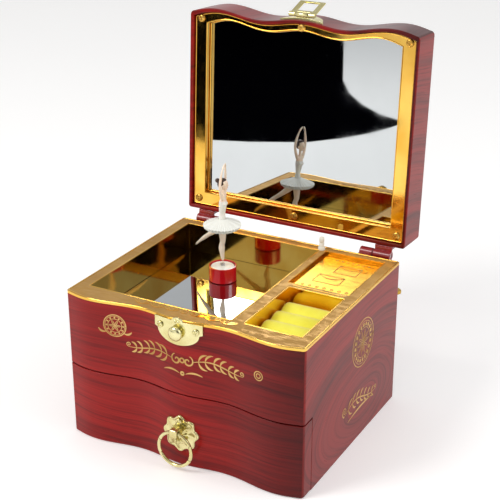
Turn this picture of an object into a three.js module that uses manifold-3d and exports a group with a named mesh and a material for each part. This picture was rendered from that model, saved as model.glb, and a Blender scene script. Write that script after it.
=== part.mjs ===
// Musical jewellery box with a turning dancer, a ring well and a drawer.
// Millimetres, +Z up. The origin is the centre of the underside, the front faces -Y.
// The lid stands open at rest; everything on it is drawn closed and turned about the hinge.
import * as THREE from 'three';
import { mergeVertices } from 'three/addons/utils/BufferGeometryUtils.js';
import Module from 'manifold-3d';

const wasm = await Module();
wasm.setup();

// ---------------------------------------------------------------- driving dimensions
const WIDTH = 150;
const DEPTH = 126;
const RIM_Z = 91;                 // top of the gold rim
const SPLIT_Z = 45.5;             // between the drawer front and the upper storey
const LID_HEIGHT = 25.1;
const CORNER_R = 2;

const FRONT_Y = -DEPTH / 2;
const BACK_Y = DEPTH / 2;
const SIDE_X = WIDTH / 2;

// serpentine front: how far it stands proud at the middle, in the hollow and on the shoulder
const WAVE_MID = 2.3;
const WAVE_HOLLOW = -0.6;
const WAVE_SHOULDER = 3.3;
const HOLLOW_X = 27;
const SHOULDER_X = 58;

const SIDE_WALL = 3.5;
const BACK_WALL = 2.6;
const FRONT_BACK_Y = FRONT_Y + 10;   // flat inner face of the front panel and the drawer front
const INNER_BACK_Y = BACK_Y - BACK_WALL;
const INNER_X = SIDE_X - SIDE_WALL;
const BASE_T = 3;
const MIDDLE_BOARD_TOP = 48;

const FLANGE_BOTTOM = 89.6;
const TRAY_T = 1.2;
const STAGE = { x0: -66.5, x1: 25, y0: -51.5, y1: 56, floor: 71.7 };
const RING_WELL = { x0: 33.5, x1: 67, y0: -51.5, y1: 0.5, floor: 73 };
const PANEL = { x0: 30, x1: 67.5, y0: 6.3, y1: 57, floor: 89 };
const MIRROR_TOP = 72.6;

const HINGE = { y: BACK_Y + 5.8, z: RIM_Z - 0.2, radius: 3 };
const LID_OPEN = 93.2;               // degrees
const LID_RIM_Z = RIM_Z + 0.3;
const LID_TOP_Z = LID_RIM_Z + LID_HEIGHT;
const LID_WALL = 2.2;
const FRAME_FACE_Z = LID_RIM_Z + 2.4;
const FRAME_T = 1;
const LID_MIRROR_Z = LID_RIM_Z + 6.6;
const WINDOW = { x: 64, y0: -56.4, y1: 52 };

const HASP_PIN = { y: -68.2, z: 93.6, radius: 0.7 };
const HASP_FOLDED_BACK = 159;        // degrees from the latched position
const LATCH_Z = 84;

const DRUM = { x: -25, y: 26.5, z0: MIRROR_TOP + 0.3, z1: 82.4, radius: 8.5 };
const FOLD_Z = 84.2;                 // the spring under the dancer bends here
const FACING = -17.2;                // degrees, the dancer's facing direction about Z
const PIN = { x: 26, y: 58.5, radius: 1.1, top: 99, bushRadius: 2.2, bushHeight: 1.8 };

const PULL = { z: 21, ringRadius: 10.4, wire: 1.05, y: -71.6 };
const RING_TOP_Z = 24.3;

// music movement: its bedplate stands against the back panel
const BARREL = { x: 60, z: 64, radius: 8.4 };
const MAIN_GEAR = { teeth: 36, radius: 8.6, toothWidth: 1.8, face: 48.6, t: 1.5 };
const MAIN_PINION = { teeth: 12, x0: 50.6, x1: 52.3 };
const SHAFT_PINION = { teeth: 12, radius: 4.2, width: 2.2 };
const CROWN = { teeth: 18, radius: 6.3, toothWidth: 2.4, t: 1.6 };
const IDLER_GEAR = { teeth: 32, z0: 52, z1: 54 };
const SPINDLE_GEAR = { teeth: 16, z0: 51.8, z1: 54.2 };
const GOVERNOR_WHEEL = { teeth: 28, module: 0.5, x0: 30.2, x1: 31.6 };
const GOVERNOR_PINION = { teeth: 7, x0: 30, x1: 31.7 };
const TOOTH_GAP = 0.16;              // play between meshing teeth
const PRESSURE = THREE.MathUtils.degToRad(25);
const ADDENDUM = 0.75;               // in modules
const DEDENDUM = 1;
const ROOT_GAP = 0.13;

// ---------------------------------------------------------------- solids
const rad = THREE.MathUtils.degToRad;

// A closed triangle mesh with shared corners, faces outwards, as a manifold solid.
function solidOf(geometry) {
  const bare = new THREE.BufferGeometry();
  bare.setAttribute('position', geometry.getAttribute('position').clone());
  if (geometry.index) bare.setIndex(geometry.index.clone());
  const merged = mergeVertices(bare, 1e-4);
  const position = merged.getAttribute('position').array;
  const index = merged.index.array;
  const corner = (i) => new THREE.Vector3().fromArray(position, 3 * i);
  const kept = [];
  let volume = 0;
  for (let i = 0; i < index.length; i += 3) {
    const [a, b, c] = [index[i], index[i + 1], index[i + 2]];
    if (a === b || b === c || c === a) continue;
    kept.push(a, b, c);
    volume += corner(a).dot(corner(b).cross(corner(c)));
  }
  if (volume < 0) {
    for (let i = 0; i < kept.length; i += 3) {
      [kept[i + 1], kept[i + 2]] = [kept[i + 2], kept[i + 1]];
    }
  }
  const mesh = new wasm.Mesh({
    numProp: 3,
    vertProperties: new Float32Array(position),
    triVerts: new Uint32Array(kept),
  });
  return new wasm.Manifold(mesh);
}

function geometryOf(solid) {
  const mesh = solid.getMesh();
  const geometry = new THREE.BufferGeometry();
  geometry.setAttribute('position', new THREE.BufferAttribute(new Float32Array(mesh.vertProperties), 3));
  geometry.setIndex(new THREE.BufferAttribute(new Uint32Array(mesh.triVerts), 1));
  geometry.computeVertexNormals();
  return geometry;
}

const join = (...parts) => geometryOf(parts.map(solidOf).reduce((a, b) => a.add(b)));
const cut = (base, ...tools) => geometryOf(tools.map(solidOf).reduce((a, b) => a.subtract(b), solidOf(base)));
const meet = (a, b) => geometryOf(solidOf(a).intersect(solidOf(b)));
const whole = (part) => geometryOf(solidOf(part));

// ---------------------------------------------------------------- basic forms
function box(x0, x1, y0, y1, z0, z1) {
  const geometry = new THREE.BoxGeometry(x1 - x0, y1 - y0, z1 - z0);
  return geometry.translate((x0 + x1) / 2, (y0 + y1) / 2, (z0 + z1) / 2);
}

// Axis letters name the direction that a form is drawn along.
const BASIS = {
  x: [[0, 1, 0], [0, 0, 1], [1, 0, 0]],
  y: [[1, 0, 0], [0, 0, 1], [0, 1, 0]],
  z: [[1, 0, 0], [0, 1, 0], [0, 0, 1]],
};

function turnTo(geometry, axis) {
  const [u, v, w] = BASIS[axis].map((column) => new THREE.Vector3(...column));
  return geometry.applyMatrix4(new THREE.Matrix4().makeBasis(u, v, w));
}

// A flat outline drawn from one height to another along an axis.
function prism(shape, from, to, axis = 'z') {
  const options = { depth: to - from, bevelEnabled: false, curveSegments: 5 };
  const geometry = new THREE.ExtrudeGeometry(shape, options);
  return turnTo(geometry.translate(0, 0, from), axis);
}

// A profile of [radius, height] pairs turned about an axis; it starts and ends on the axis or closes.
function turned(profile, axis = 'z', sides = 20) {
  const points = profile.map(([r, h]) => new THREE.Vector2(r, h));
  const lathe = new THREE.LatheGeometry(points, sides);
  lathe.rotateX(Math.PI / 2);
  return turnTo(lathe, axis);
}

function rod(radius, from, to, axis = 'z', sides = 12) {
  return turned([[0, from], [radius, from], [radius, to], [0, to]], axis, sides);
}

function tube(inner, outer, from, to, axis = 'z', sides = 20) {
  return turned([[inner, from], [outer, from], [outer, to], [inner, to], [inner, from]], axis, sides);
}

function polygon(points) {
  return new THREE.Shape(points.map(([x, y]) => new THREE.Vector2(x, y)));
}

// ---------------------------------------------------------------- serpentine front
function blend(a, b, t) {
  return a + (b - a) * (1 - Math.cos(Math.PI * t)) / 2;
}

function frontWave(x) {
  const reach = Math.abs(x);
  if (reach < HOLLOW_X) return blend(WAVE_MID, WAVE_HOLLOW, reach / HOLLOW_X);
  if (reach < SHOULDER_X) {
    return blend(WAVE_HOLLOW, WAVE_SHOULDER, (reach - HOLLOW_X) / (SHOULDER_X - HOLLOW_X));
  }
  return WAVE_SHOULDER * Math.cos((Math.PI / 2) * (reach - SHOULDER_X) / (SIDE_X - SHOULDER_X));
}

// Points along the front from left to right, moved inwards by an inset.
function frontLine(inset = 0, halfWidth = SIDE_X, steps = 26) {
  const points = [];
  for (let i = 0; i <= steps; i++) {
    const x = halfWidth * (2 * i / steps - 1);
    points.push([x, FRONT_Y - frontWave(x * SIDE_X / halfWidth) + inset]);
  }
  return points;
}

// The box seen from above: serpentine front, softly rounded front corners, flat back.
function plan(inset = 0, backY = BACK_Y) {
  const half = SIDE_X - inset;
  const inner = half - CORNER_R;
  const line = frontLine(inset, half).filter(([x]) => Math.abs(x) < inner);
  const cornerY = FRONT_Y + inset + CORNER_R;
  const cornerX = half - CORNER_R * 0.3;
  const nearY = cornerY - CORNER_R * 0.7;
  return polygon([
    [-half, backY], [-half, cornerY], [-cornerX, nearY],
    ...line,
    [cornerX, nearY], [half, cornerY], [half, backY],
  ]);
}

// A thin plate that follows the serpentine front, cut to an outline in x and z.
function bentPlate(outline, thickness, lift = 0.1) {
  const reach = 22;
  const back = [];
  const face = [];
  for (let x = -reach; x <= reach; x += 4) {
    back.push([x, FRONT_Y - frontWave(x) - lift]);
    face.unshift([x, FRONT_Y - frontWave(x) - lift - thickness]);
  }
  const sheet = prism(polygon([...back, ...face]), 0, LID_TOP_Z);
  return meet(sheet, prism(outline, FRONT_Y - 12, FRONT_Y + 5, 'y'));
}

// ---------------------------------------------------------------- gears
// A spur gear with a tooth centred on the given angle; the outline is drawn in its own plane.
function spurOutline(teeth, pitchRadius, phase) {
  const module = 2 * pitchRadius / teeth;
  const tip = pitchRadius + ADDENDUM * module;
  const root = pitchRadius - DEDENDUM * module;
  const half = Math.PI / (2 * teeth) - TOOTH_GAP / (2 * pitchRadius);
  const lean = Math.tan(PRESSURE) / pitchRadius;
  const points = [];
  for (let i = 0; i < teeth; i++) {
    const middle = phase + 2 * Math.PI * i / teeth;
    const corners = [
      [root, -half - lean * (pitchRadius - root) * 0.6],
      [tip, -half + lean * (tip - pitchRadius)],
      [tip, half - lean * (tip - pitchRadius)],
      [root, half + lean * (pitchRadius - root) * 0.6],
    ];
    for (const [r, a] of corners) points.push([r * Math.cos(middle + a), r * Math.sin(middle + a)]);
  }
  return polygon(points);
}

function spurGear(gear, pitchRadius, phase, axis) {
  const from = axis === 'x' ? gear.x0 : gear.z0;
  const to = axis === 'x' ? gear.x1 : gear.z1;
  return prism(spurOutline(gear.teeth, pitchRadius, phase), from, to, axis);
}

// Depth below the pitch line, and full height, of a crown wheel's teeth.
function crownTooth({ teeth, radius }) {
  const module = 2 * radius / teeth;
  const root = ADDENDUM * module + ROOT_GAP;
  return { root, height: root + ADDENDUM * module };
}

// The ring of upright teeth of a crown wheel, standing on height `from`, with a tooth on the given angle.
function crownTeeth({ teeth, radius, toothWidth }, from, height, phase, axis) {
  const pitch = 2 * Math.PI * radius / teeth;
  const inner = radius - toothWidth / 2;
  const innerPitch = 2 * Math.PI * inner / teeth;
  const middleHeight = Math.abs(height) / 2;
  const half = (innerPitch - pitch / 2) / 2;
  const slope = Math.tan(PRESSURE) * middleHeight;
  const sink = 0.3 * Math.sign(height);
  const outline = polygon([
    [-half - slope, from - sink], [half + slope, from - sink],
    [half + slope, from], [half - slope, from + height],
    [-half + slope, from + height], [-half - slope, from],
  ]);
  const parts = [];
  for (let i = 0; i < teeth; i++) {
    const tooth = prism(outline, inner, inner + toothWidth, 'x');
    tooth.rotateZ(phase + 2 * Math.PI * i / teeth);
    parts.push(axis === 'y' ? turnTo(tooth, 'y') : tooth);
  }
  return parts;
}

// ---------------------------------------------------------------- finishes
function finish(color, roughness, metalness = 0) {
  return new THREE.MeshStandardMaterial({ color, roughness, metalness });
}

const redWood = finish(0x8f231e, 0.22);
const board = finish(0xb98d62, 0.8);
const gold = finish(0xd9a94a, 0.25, 1);
const paleBrass = finish(0xd8d08c, 0.25, 1);
const mirrorGlass = finish(0xd5dade, 0.03, 1);
const steel = finish(0xb9bcc0, 0.35, 1);
const darkSteel = finish(0x5a5d60, 0.4, 1);
const brass = finish(0xc9a24f, 0.35, 1);
const redPlastic = finish(0xb51218, 0.2);
const whitePlastic = finish(0xf0eee6, 0.4);
const skin = finish(0xf0d3b4, 0.5);
const net = finish(0xeef0ea, 0.7);
const yellowFoam = finish(0xe8e04a, 0.95);
const gearPlastic = finish(0xe6e2d4, 0.45);

const group = new THREE.Group();

function add(parent, name, geometry, material) {
  const mesh = new THREE.Mesh(geometry, material);
  mesh.name = name;
  parent.add(mesh);
  return mesh;
}

// ---------------------------------------------------------------- screws
// Head on the side that the axis leaves by; length is the shank below the head.
const SCREW = { head: 2.4, headHeight: 1, shank: 1, hole: 1.3 };
const SMALL_SCREW = { head: 1.9, headHeight: 0.8, shank: 0.9 };

function screw(length, axis, sign, size = SCREW) {
  const top = size.headHeight * sign;
  return turned([
    [0, -length * sign], [size.shank, -length * sign], [size.shank, 0], [size.head, 0],
    [size.head * 0.9, top * 0.6], [size.head * 0.5, top], [0, top],
  ], axis, 10);
}

// ---------------------------------------------------------------- case
const FRAME_SCREWS = [
  [-68.4, -59.2], [0, -60.5], [68.4, -59.2], [-68.4, 56.4], [0, 56.4], [68.4, 56.4],
];
const MOVEMENT_SCREWS = [[36, 80], [67, 51.5]];
const LATCH_SCREW = { x: 11.2, z: 86 };
const PULL_SCREW_Z = 29.2;
const KEY_HOLE_R = 3;
const SPINDLE_HOLE_R = 2;
const MIRROR_HOLE_R = 2.8;

function alongY(radius, x, z, y0, y1, sides = 12) {
  return rod(radius, y0, y1, 'y', sides).translate(x, 0, z);
}

// Screw hole along Y at a given place in x and z.
function screwHole(x, z, y0, y1, radius = SCREW.hole) {
  return alongY(radius, x, z, y0, y1, 8);
}

const frontPanel = cut(
  prism(plan(0, FRONT_BACK_Y), SPLIT_Z + 0.3, FLANGE_BOTTOM),
  ...[-1, 1].map((side) => screwHole(side * LATCH_SCREW.x, LATCH_SCREW.z, FRONT_Y - 4, FRONT_Y + 7)),
);
add(group, 'front_panel', frontPanel, redWood);

const backPanel = cut(
  box(-SIDE_X, SIDE_X, INNER_BACK_Y, BACK_Y, 0, FLANGE_BOTTOM),
  alongY(KEY_HOLE_R, BARREL.x, BARREL.z, INNER_BACK_Y - 1, BACK_Y + 1),
  ...MOVEMENT_SCREWS.map(([x, z]) => screwHole(x, z, INNER_BACK_Y - 1, BACK_Y + 1)),
);
add(group, 'back_panel', backPanel, redWood);

// A flat board between the front and back panels.
function inside(x0, x1, z0, z1) {
  return box(x0, x1, FRONT_BACK_Y, INNER_BACK_Y, z0, z1);
}
add(group, 'left_panel', inside(-SIDE_X, -INNER_X, 0, FLANGE_BOTTOM), redWood);
add(group, 'right_panel', inside(INNER_X, SIDE_X, 0, FLANGE_BOTTOM), redWood);
add(group, 'base_board', inside(-INNER_X, INNER_X, 0, BASE_T), board);
add(group, 'middle_board', inside(-INNER_X, INNER_X, SPLIT_Z, MIDDLE_BOARD_TOP), board);

// ---------------------------------------------------------------- gold tray and what lies in it
function tub({ x0, x1, y0, y1, floor }) {
  const t = TRAY_T;
  return box(x0 - t, x1 + t, y0 - t, y1 + t, floor - t, FLANGE_BOTTOM + 0.2);
}

function hollow({ x0, x1, y0, y1, floor }) {
  return box(x0, x1, y0, y1, floor, RIM_Z + 1);
}

const tray = cut(
  join(prism(plan(), FLANGE_BOTTOM, RIM_Z), tub(STAGE), tub(RING_WELL), tub(PANEL)),
  hollow(STAGE), hollow(RING_WELL), hollow(PANEL),
  rod(SPINDLE_HOLE_R, STAGE.floor - 3, STAGE.floor + 1).translate(DRUM.x, DRUM.y, 0),
  rod(PIN.radius + 0.3, FLANGE_BOTTOM - 1, RIM_Z + 1).translate(PIN.x, PIN.y, 0),
);
add(group, 'gold_tray', tray, gold);

const floorMirror = cut(
  box(STAGE.x0 + 0.3, STAGE.x1 - 0.3, STAGE.y0 + 0.3, STAGE.y1 - 0.3, STAGE.floor + 0.1, MIRROR_TOP),
  rod(MIRROR_HOLE_R, STAGE.floor - 1, MIRROR_TOP + 1).translate(DRUM.x, DRUM.y, 0),
);
add(group, 'floor_mirror', floorMirror, mirrorGlass);

// Four soft rolls side by side, running across the well.
const PAD_ROLLS = 4;
const PAD_BASE_Z = RING_WELL.floor + 0.3;
const PAD_TOP_Z = 85;
const PAD_GAP = 0.4;
const ROLL_RISE = 3;
function ringPad() {
  const y0 = RING_WELL.y0 + PAD_GAP;
  const roll = (RING_WELL.y1 - PAD_GAP - y0) / PAD_ROLLS;
  const shoulder = PAD_TOP_Z - ROLL_RISE;
  const points = [[y0 + roll * PAD_ROLLS, PAD_BASE_Z], [y0, PAD_BASE_Z]];
  for (let i = 0; i < PAD_ROLLS; i++) {
    const start = y0 + roll * i;
    points.push([start, shoulder]);
    for (const t of [0.2, 0.5, 0.8]) {
      points.push([start + roll * t, shoulder + ROLL_RISE * Math.sin(Math.PI * t)]);
    }
  }
  points.push([y0 + roll * PAD_ROLLS, shoulder]);
  return whole(prism(polygon(points), RING_WELL.x0 + PAD_GAP, RING_WELL.x1 - PAD_GAP, 'x'));
}
add(group, 'ring_pad', ringPad(), yellowFoam);

// ---------------------------------------------------------------- latch on the case
const LATCH = {
  half: 15, arcHalf: 13, top: RIM_Z - 0.5, shoulder: 84.6, arcTop: 83.8, bottom: 76.4, thickness: 1,
};
function latchOutline() {
  const points = [[-LATCH.half, LATCH.top], [-LATCH.half, LATCH.shoulder], [-LATCH.arcHalf, LATCH.arcTop]];
  for (let i = 1; i < 8; i++) {
    const angle = Math.PI * (1 + i / 8);
    const depth = LATCH.arcTop - LATCH.bottom;
    points.push([LATCH.arcHalf * Math.cos(angle), LATCH.arcTop + depth * Math.sin(angle)]);
  }
  points.push([LATCH.arcHalf, LATCH.arcTop], [LATCH.half, LATCH.shoulder], [LATCH.half, LATCH.top]);
  points.push([2, LATCH.top], [1, LATCH.top + 2], [-1, LATCH.top + 2], [-2, LATCH.top]);
  return polygon(points);
}
const latchScrewHoles = [-1, 1].map((side) =>
  screwHole(side * LATCH_SCREW.x, LATCH_SCREW.z, FRONT_Y - 6, FRONT_Y + 2));
add(group, 'latch_plate', cut(bentPlate(latchOutline(), LATCH.thickness), ...latchScrewHoles), paleBrass);

const knobBase = FRONT_Y - WAVE_MID - LATCH.thickness - 0.3;
const latchKnob = turned([
  [0, 0], [3.2, 0], [3.2, -0.8], [4.2, -1.2], [4, -2.4], [2.6, -3.4], [0, -3.8],
], 'y', 16).translate(0, knobBase, LATCH_Z);
add(group, 'latch_knob', whole(latchKnob), paleBrass);
for (const [name, side] of [['left', -1], ['right', 1]]) {
  const face = FRONT_Y - frontWave(LATCH_SCREW.x) - LATCH.thickness - 0.4;
  const piece = screw(6, 'y', -1, SMALL_SCREW);
  piece.translate(side * LATCH_SCREW.x, face, LATCH_SCREW.z);
  add(group, `latch_screw_${name}`, whole(piece), steel);
}

// ---------------------------------------------------------------- hinges
// Each hinge has a leaf and knuckle on the case, towards the middle, and one on the lid outside it.
const KNUCKLE = { caseInner: 47.4, caseOuter: 55.6, lidInner: 56, lidOuter: 67.2, bore: 1.3, pin: 1 };
const LEAF = { gap: 0.2, thickness: 2, caseBottom: 74, lidTop: 106, arm: 1.6 };

function knuckle(x0, x1) {
  return rod(HINGE.radius, x0, x1, 'x', 14).translate(0, HINGE.y, HINGE.z);
}

function hingeHalf(side, x0, x1, leafZ0, leafZ1) {
  const leafY = BACK_Y + LEAF.gap;
  const leaf = box(x0, x1, leafY, leafY + LEAF.thickness, leafZ0, leafZ1);
  const armLow = Math.min(Math.max(leafZ0, HINGE.z - 1.4), HINGE.z + 0.4);
  const arm = box(x0, x1, leafY + 1, HINGE.y, armLow, armLow + LEAF.arm);
  const half = cut(
    join(leaf, knuckle(x0, x1), arm),
    rod(KNUCKLE.bore, x0 - 1, x1 + 1, 'x', 12).translate(0, HINGE.y, HINGE.z),
  );
  return side < 0 ? whole(half.scale(-1, 1, 1)) : half;
}

const SIDES = [['left', -1], ['right', 1]];
for (const [name, side] of SIDES) {
  const leaf = hingeHalf(side, KNUCKLE.caseInner, KNUCKLE.caseOuter, LEAF.caseBottom, HINGE.z + 0.2);
  add(group, `hinge_leaf_${name}`, leaf, redPlastic);
  const pin = rod(KNUCKLE.pin, KNUCKLE.caseInner + 0.3, KNUCKLE.lidOuter - 0.3, 'x', 10);
  pin.translate(0, HINGE.y, HINGE.z);
  add(group, `hinge_pin_${name}`, whole(pin.scale(side, 1, 1)), steel);
}

// ---------------------------------------------------------------- music movement, fixed parts
const BEDPLATE = { x0: 30, x1: 70.5, z0: 49, z1: 85.5, t: 1.5 };
const BED_FACE_Y = INNER_BACK_Y - BEDPLATE.t;
const mainPinionRadius = MAIN_GEAR.radius * MAIN_PINION.teeth / MAIN_GEAR.teeth;
const mainTooth = crownTooth(MAIN_GEAR);
const ARBOR_R = 1.6;
const SHAFT_R = 1;
const FAN_SHAFT_R = 0.7;
const COMB_HOLE_R = 1.1;
const CYLINDER_Y = MAIN_GEAR.face - mainTooth.root - mainPinionRadius;
const CYLINDER = { x0: 33.2, x1: 48.6, radius: 5.4 };
const FAN_ANGLE = rad(60);
const fanDistance = GOVERNOR_WHEEL.module * (GOVERNOR_WHEEL.teeth + GOVERNOR_PINION.teeth) / 2;
const FAN = {
  y: CYLINDER_Y + fanDistance * Math.cos(FAN_ANGLE),
  z: BARREL.z + fanDistance * Math.sin(FAN_ANGLE),
  radius: 5,
  x0: 27.6,
  x1: 29.4,
  t: 0.8,
};
const LUGS = [[31.9, 32.9], [48.9, 49.9]];
const COMB = {
  x0: 33.8, x1: 48.2, z0: 49.6, z1: BARREL.z - CYLINDER.radius - 0.3,
  t: 1, teeth: 18, slit: 0.28, root: 3.6, screwX: 41, screwZ: 51.3,
};

function lug(x0, x1) {
  const outline = polygon([
    [BED_FACE_Y + 0.1, BARREL.z - 4], [BED_FACE_Y + 0.1, FAN.z + 3], [FAN.y - 2.5, FAN.z + 3],
    [CYLINDER_Y - 3, BARREL.z + 3], [CYLINDER_Y - 3, BARREL.z - 4],
  ]);
  return prism(outline, x0, x1, 'x');
}

const bedplate = cut(
  join(
    box(BEDPLATE.x0, BEDPLATE.x1, BED_FACE_Y, INNER_BACK_Y, BEDPLATE.z0, BEDPLATE.z1),
    ...LUGS.map(([x0, x1]) => lug(x0, x1)),
    box(34, 48, CYLINDER_Y + COMB.t / 2, BED_FACE_Y + 0.1, COMB.z0, COMB.z0 + 3.4),
  ),
  rod(SHAFT_R + 0.3, 30, 52, 'x', 10).translate(0, CYLINDER_Y, BARREL.z),
  rod(FAN_SHAFT_R + 0.3, 30, 52, 'x', 10).translate(0, FAN.y, FAN.z),
  alongY(ARBOR_R + 0.6, BARREL.x, BARREL.z, BED_FACE_Y - 1, INNER_BACK_Y + 1),
  screwHole(COMB.screwX, COMB.screwZ, CYLINDER_Y - 2, CYLINDER_Y + 7, COMB_HOLE_R),
  ...MOVEMENT_SCREWS.map(([x, z]) => screwHole(x, z, BED_FACE_Y - 1, INNER_BACK_Y + 1)),
);
add(group, 'movement_bedplate', bedplate, brass);

// Comb: a steel plate slit into teeth that reach to the cylinder.
function comb() {
  const y0 = CYLINDER_Y - COMB.t / 2;
  const plate = box(COMB.x0, COMB.x1, y0, y0 + COMB.t, COMB.z0, COMB.z1);
  const pitch = (COMB.x1 - COMB.x0) / COMB.teeth;
  const slits = [];
  for (let i = 1; i < COMB.teeth; i++) {
    const x = COMB.x0 + pitch * i - COMB.slit / 2;
    slits.push(box(x, x + COMB.slit, y0 - 1, y0 + COMB.t + 1, COMB.z0 + COMB.root, COMB.z1 + 1));
  }
  return cut(plate, screwHole(COMB.screwX, COMB.screwZ, y0 - 1, y0 + COMB.t + 1, COMB_HOLE_R), ...slits);
}
add(group, 'comb', comb(), steel);

const combScrew = screw(5, 'y', -1, { head: 1.6, headHeight: 0.8, shank: 0.8 });
combScrew.translate(COMB.screwX, CYLINDER_Y - COMB.t / 2 - 0.05, COMB.screwZ);
add(group, 'comb_screw', whole(combScrew), steel);

MOVEMENT_SCREWS.forEach(([x, z], i) => {
  const piece = screw(5, 'y', 1).translate(x, BACK_Y + 0.05, z);
  add(group, `movement_screw_${i + 1}`, whole(piece), steel);
});

// Spring housing: a cup that opens towards the bedplate, with the coiled mainspring in it.
const CUP = { y0: 50.9, y1: BED_FACE_Y - 0.2, wall: 0.8, hole: 2 };
const springBarrel = turned([
  [CUP.hole, CUP.y0], [BARREL.radius, CUP.y0], [BARREL.radius, CUP.y1],
  [BARREL.radius - CUP.wall, CUP.y1], [BARREL.radius - CUP.wall, CUP.y0 + CUP.wall],
  [CUP.hole, CUP.y0 + CUP.wall], [CUP.hole, CUP.y0],
], 'y', 24).translate(BARREL.x, 0, BARREL.z);
add(group, 'spring_barrel', whole(springBarrel), brass);

const COIL = { turns: 4, inner: 2.6, outer: 7, t: 0.4 };
function mainspring() {
  const steps = COIL.turns * 10;
  const inner = [];
  const outer = [];
  for (let i = 0; i <= steps; i++) {
    const angle = 2 * Math.PI * COIL.turns * i / steps;
    const radius = COIL.inner + (COIL.outer - COIL.inner) * i / steps;
    inner.push([radius * Math.cos(angle), radius * Math.sin(angle)]);
    outer.unshift([(radius + COIL.t) * Math.cos(angle), (radius + COIL.t) * Math.sin(angle)]);
  }
  const strip = prism(polygon([...inner, ...outer]), CUP.y0 + CUP.wall + 0.3, CUP.y1 - 0.3, 'y');
  return whole(strip.translate(BARREL.x, 0, BARREL.z));
}
add(group, 'mainspring', mainspring(), darkSteel);

// Bracket on the middle board for the crown wheel's arbor, the spindle and the long shaft.
const SHAFT_END_X = DRUM.x + CROWN.radius - 1.2;
const SPINDLE_R = 1.5;
const BRACKET = { z0: MIDDLE_BOARD_TOP, z1: MIDDLE_BOARD_TOP + 1.4, lugX0: -10.6, lugX1: -9.2 };
const driveBracket = cut(
  join(
    box(DRUM.x - 5, BRACKET.lugX1, DRUM.y - 5, CYLINDER_Y + 5, BRACKET.z0, BRACKET.z1),
    box(BRACKET.lugX0, BRACKET.lugX1, CYLINDER_Y - 3.5, CYLINDER_Y + 3.5, BRACKET.z0, BARREL.z + 3.2),
  ),
  rod(SHAFT_R + 0.3, BRACKET.z0 - 1, BRACKET.z1 + 1).translate(DRUM.x, CYLINDER_Y, 0),
  rod(SPINDLE_R + 0.3, BRACKET.z0 - 1, BRACKET.z1 + 1).translate(DRUM.x, DRUM.y, 0),
  rod(SHAFT_R + 0.3, BRACKET.lugX0 - 1, BRACKET.lugX1 + 1, 'x', 10).translate(0, CYLINDER_Y, BARREL.z),
);
add(group, 'drive_bracket', driveBracket, steel);

const bush = tube(PIN.radius + 0.3, PIN.bushRadius, RIM_Z, RIM_Z + PIN.bushHeight, 'z', 14);
add(group, 'stop_pin_bush', whole(bush.translate(PIN.x, PIN.y, 0)), whitePlastic);

// ---------------------------------------------------------------- winding arbor, main gear and key
const winding = new THREE.Group();
winding.position.set(BARREL.x, 0, BARREL.z);
group.add(winding);

const mainGear = join(
  rod(ARBOR_R, MAIN_GEAR.face - 1.6, BACK_Y + 5, 'y'),
  rod(MAIN_GEAR.radius + 0.95, MAIN_GEAR.face, MAIN_GEAR.face + MAIN_GEAR.t, 'y', 36),
  ...crownTeeth(MAIN_GEAR, MAIN_GEAR.face, -mainTooth.height, Math.PI, 'y'),
);
add(winding, 'main_gear', mainGear, brass);

const KEY = { y0: BACK_Y + 0.8, y1: BACK_Y + 21 };
function key() {
  const stem = cut(rod(2.6, KEY.y0, KEY.y0 + 11, 'y', 14), rod(1.9, KEY.y0 - 1, BACK_Y + 5.4, 'y', 12));
  const wing = new THREE.Shape();
  wing.absellipse(0, 0, 11, 5.2, 0, 2 * Math.PI);
  const handle = prism(wing, -1.1, 1.1).translate(0, KEY.y1 - 5.6, 0);
  const eyes = [-1, 1].map((side) => rod(2, -3, 3, 'z', 10).translate(side * 5.6, KEY.y1 - 5.6, 0));
  return cut(join(stem, handle), ...eyes);
}
add(winding, 'winding_key', key(), brass);

// ---------------------------------------------------------------- pinned cylinder with the long shaft
const shaft = new THREE.Group();
shaft.position.set(0, CYLINDER_Y, BARREL.z);
group.add(shaft);

const governorWheelRadius = GOVERNOR_WHEEL.module * GOVERNOR_WHEEL.teeth / 2;
const cylinder = join(
  rod(SHAFT_R, SHAFT_END_X - 0.6, MAIN_PINION.x1 + 0.9, 'x', 10),
  rod(CYLINDER.radius, CYLINDER.x0, CYLINDER.x1, 'x', 24),
  // a gap of the main pinion faces the crown teeth at +Y
  spurGear(MAIN_PINION, mainPinionRadius, Math.PI / MAIN_PINION.teeth, 'x'),
  spurGear(GOVERNOR_WHEEL, governorWheelRadius, FAN_ANGLE, 'x'),
  // a gap of the shaft pinion faces the crown wheel at -Z
  prism(
    spurOutline(SHAFT_PINION.teeth, SHAFT_PINION.radius, -Math.PI / 2 + Math.PI / SHAFT_PINION.teeth),
    SHAFT_END_X, SHAFT_END_X + SHAFT_PINION.width, 'x',
  ),
);
add(shaft, 'cylinder', cylinder, brass);

// ---------------------------------------------------------------- governor fan
const governor = new THREE.Group();
governor.position.set(0, FAN.y, FAN.z);
group.add(governor);

const governorPinionRadius = GOVERNOR_WHEEL.module * GOVERNOR_PINION.teeth / 2;
const fanPhase = FAN_ANGLE + Math.PI + Math.PI / GOVERNOR_PINION.teeth;
const governorFan = join(
  rod(FAN_SHAFT_R, FAN.x0 - 0.4, LUGS[1][1] - 0.3, 'x', 8),
  spurGear(GOVERNOR_PINION, governorPinionRadius, fanPhase, 'x'),
  box(FAN.x0, FAN.x1, -FAN.t / 2, FAN.t / 2, -FAN.radius, FAN.radius),
);
add(governor, 'governor_fan', governorFan, steel);

// ---------------------------------------------------------------- crown wheel and its spur gear
const idler = new THREE.Group();
idler.position.set(DRUM.x, CYLINDER_Y, 0);
group.add(idler);

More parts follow.
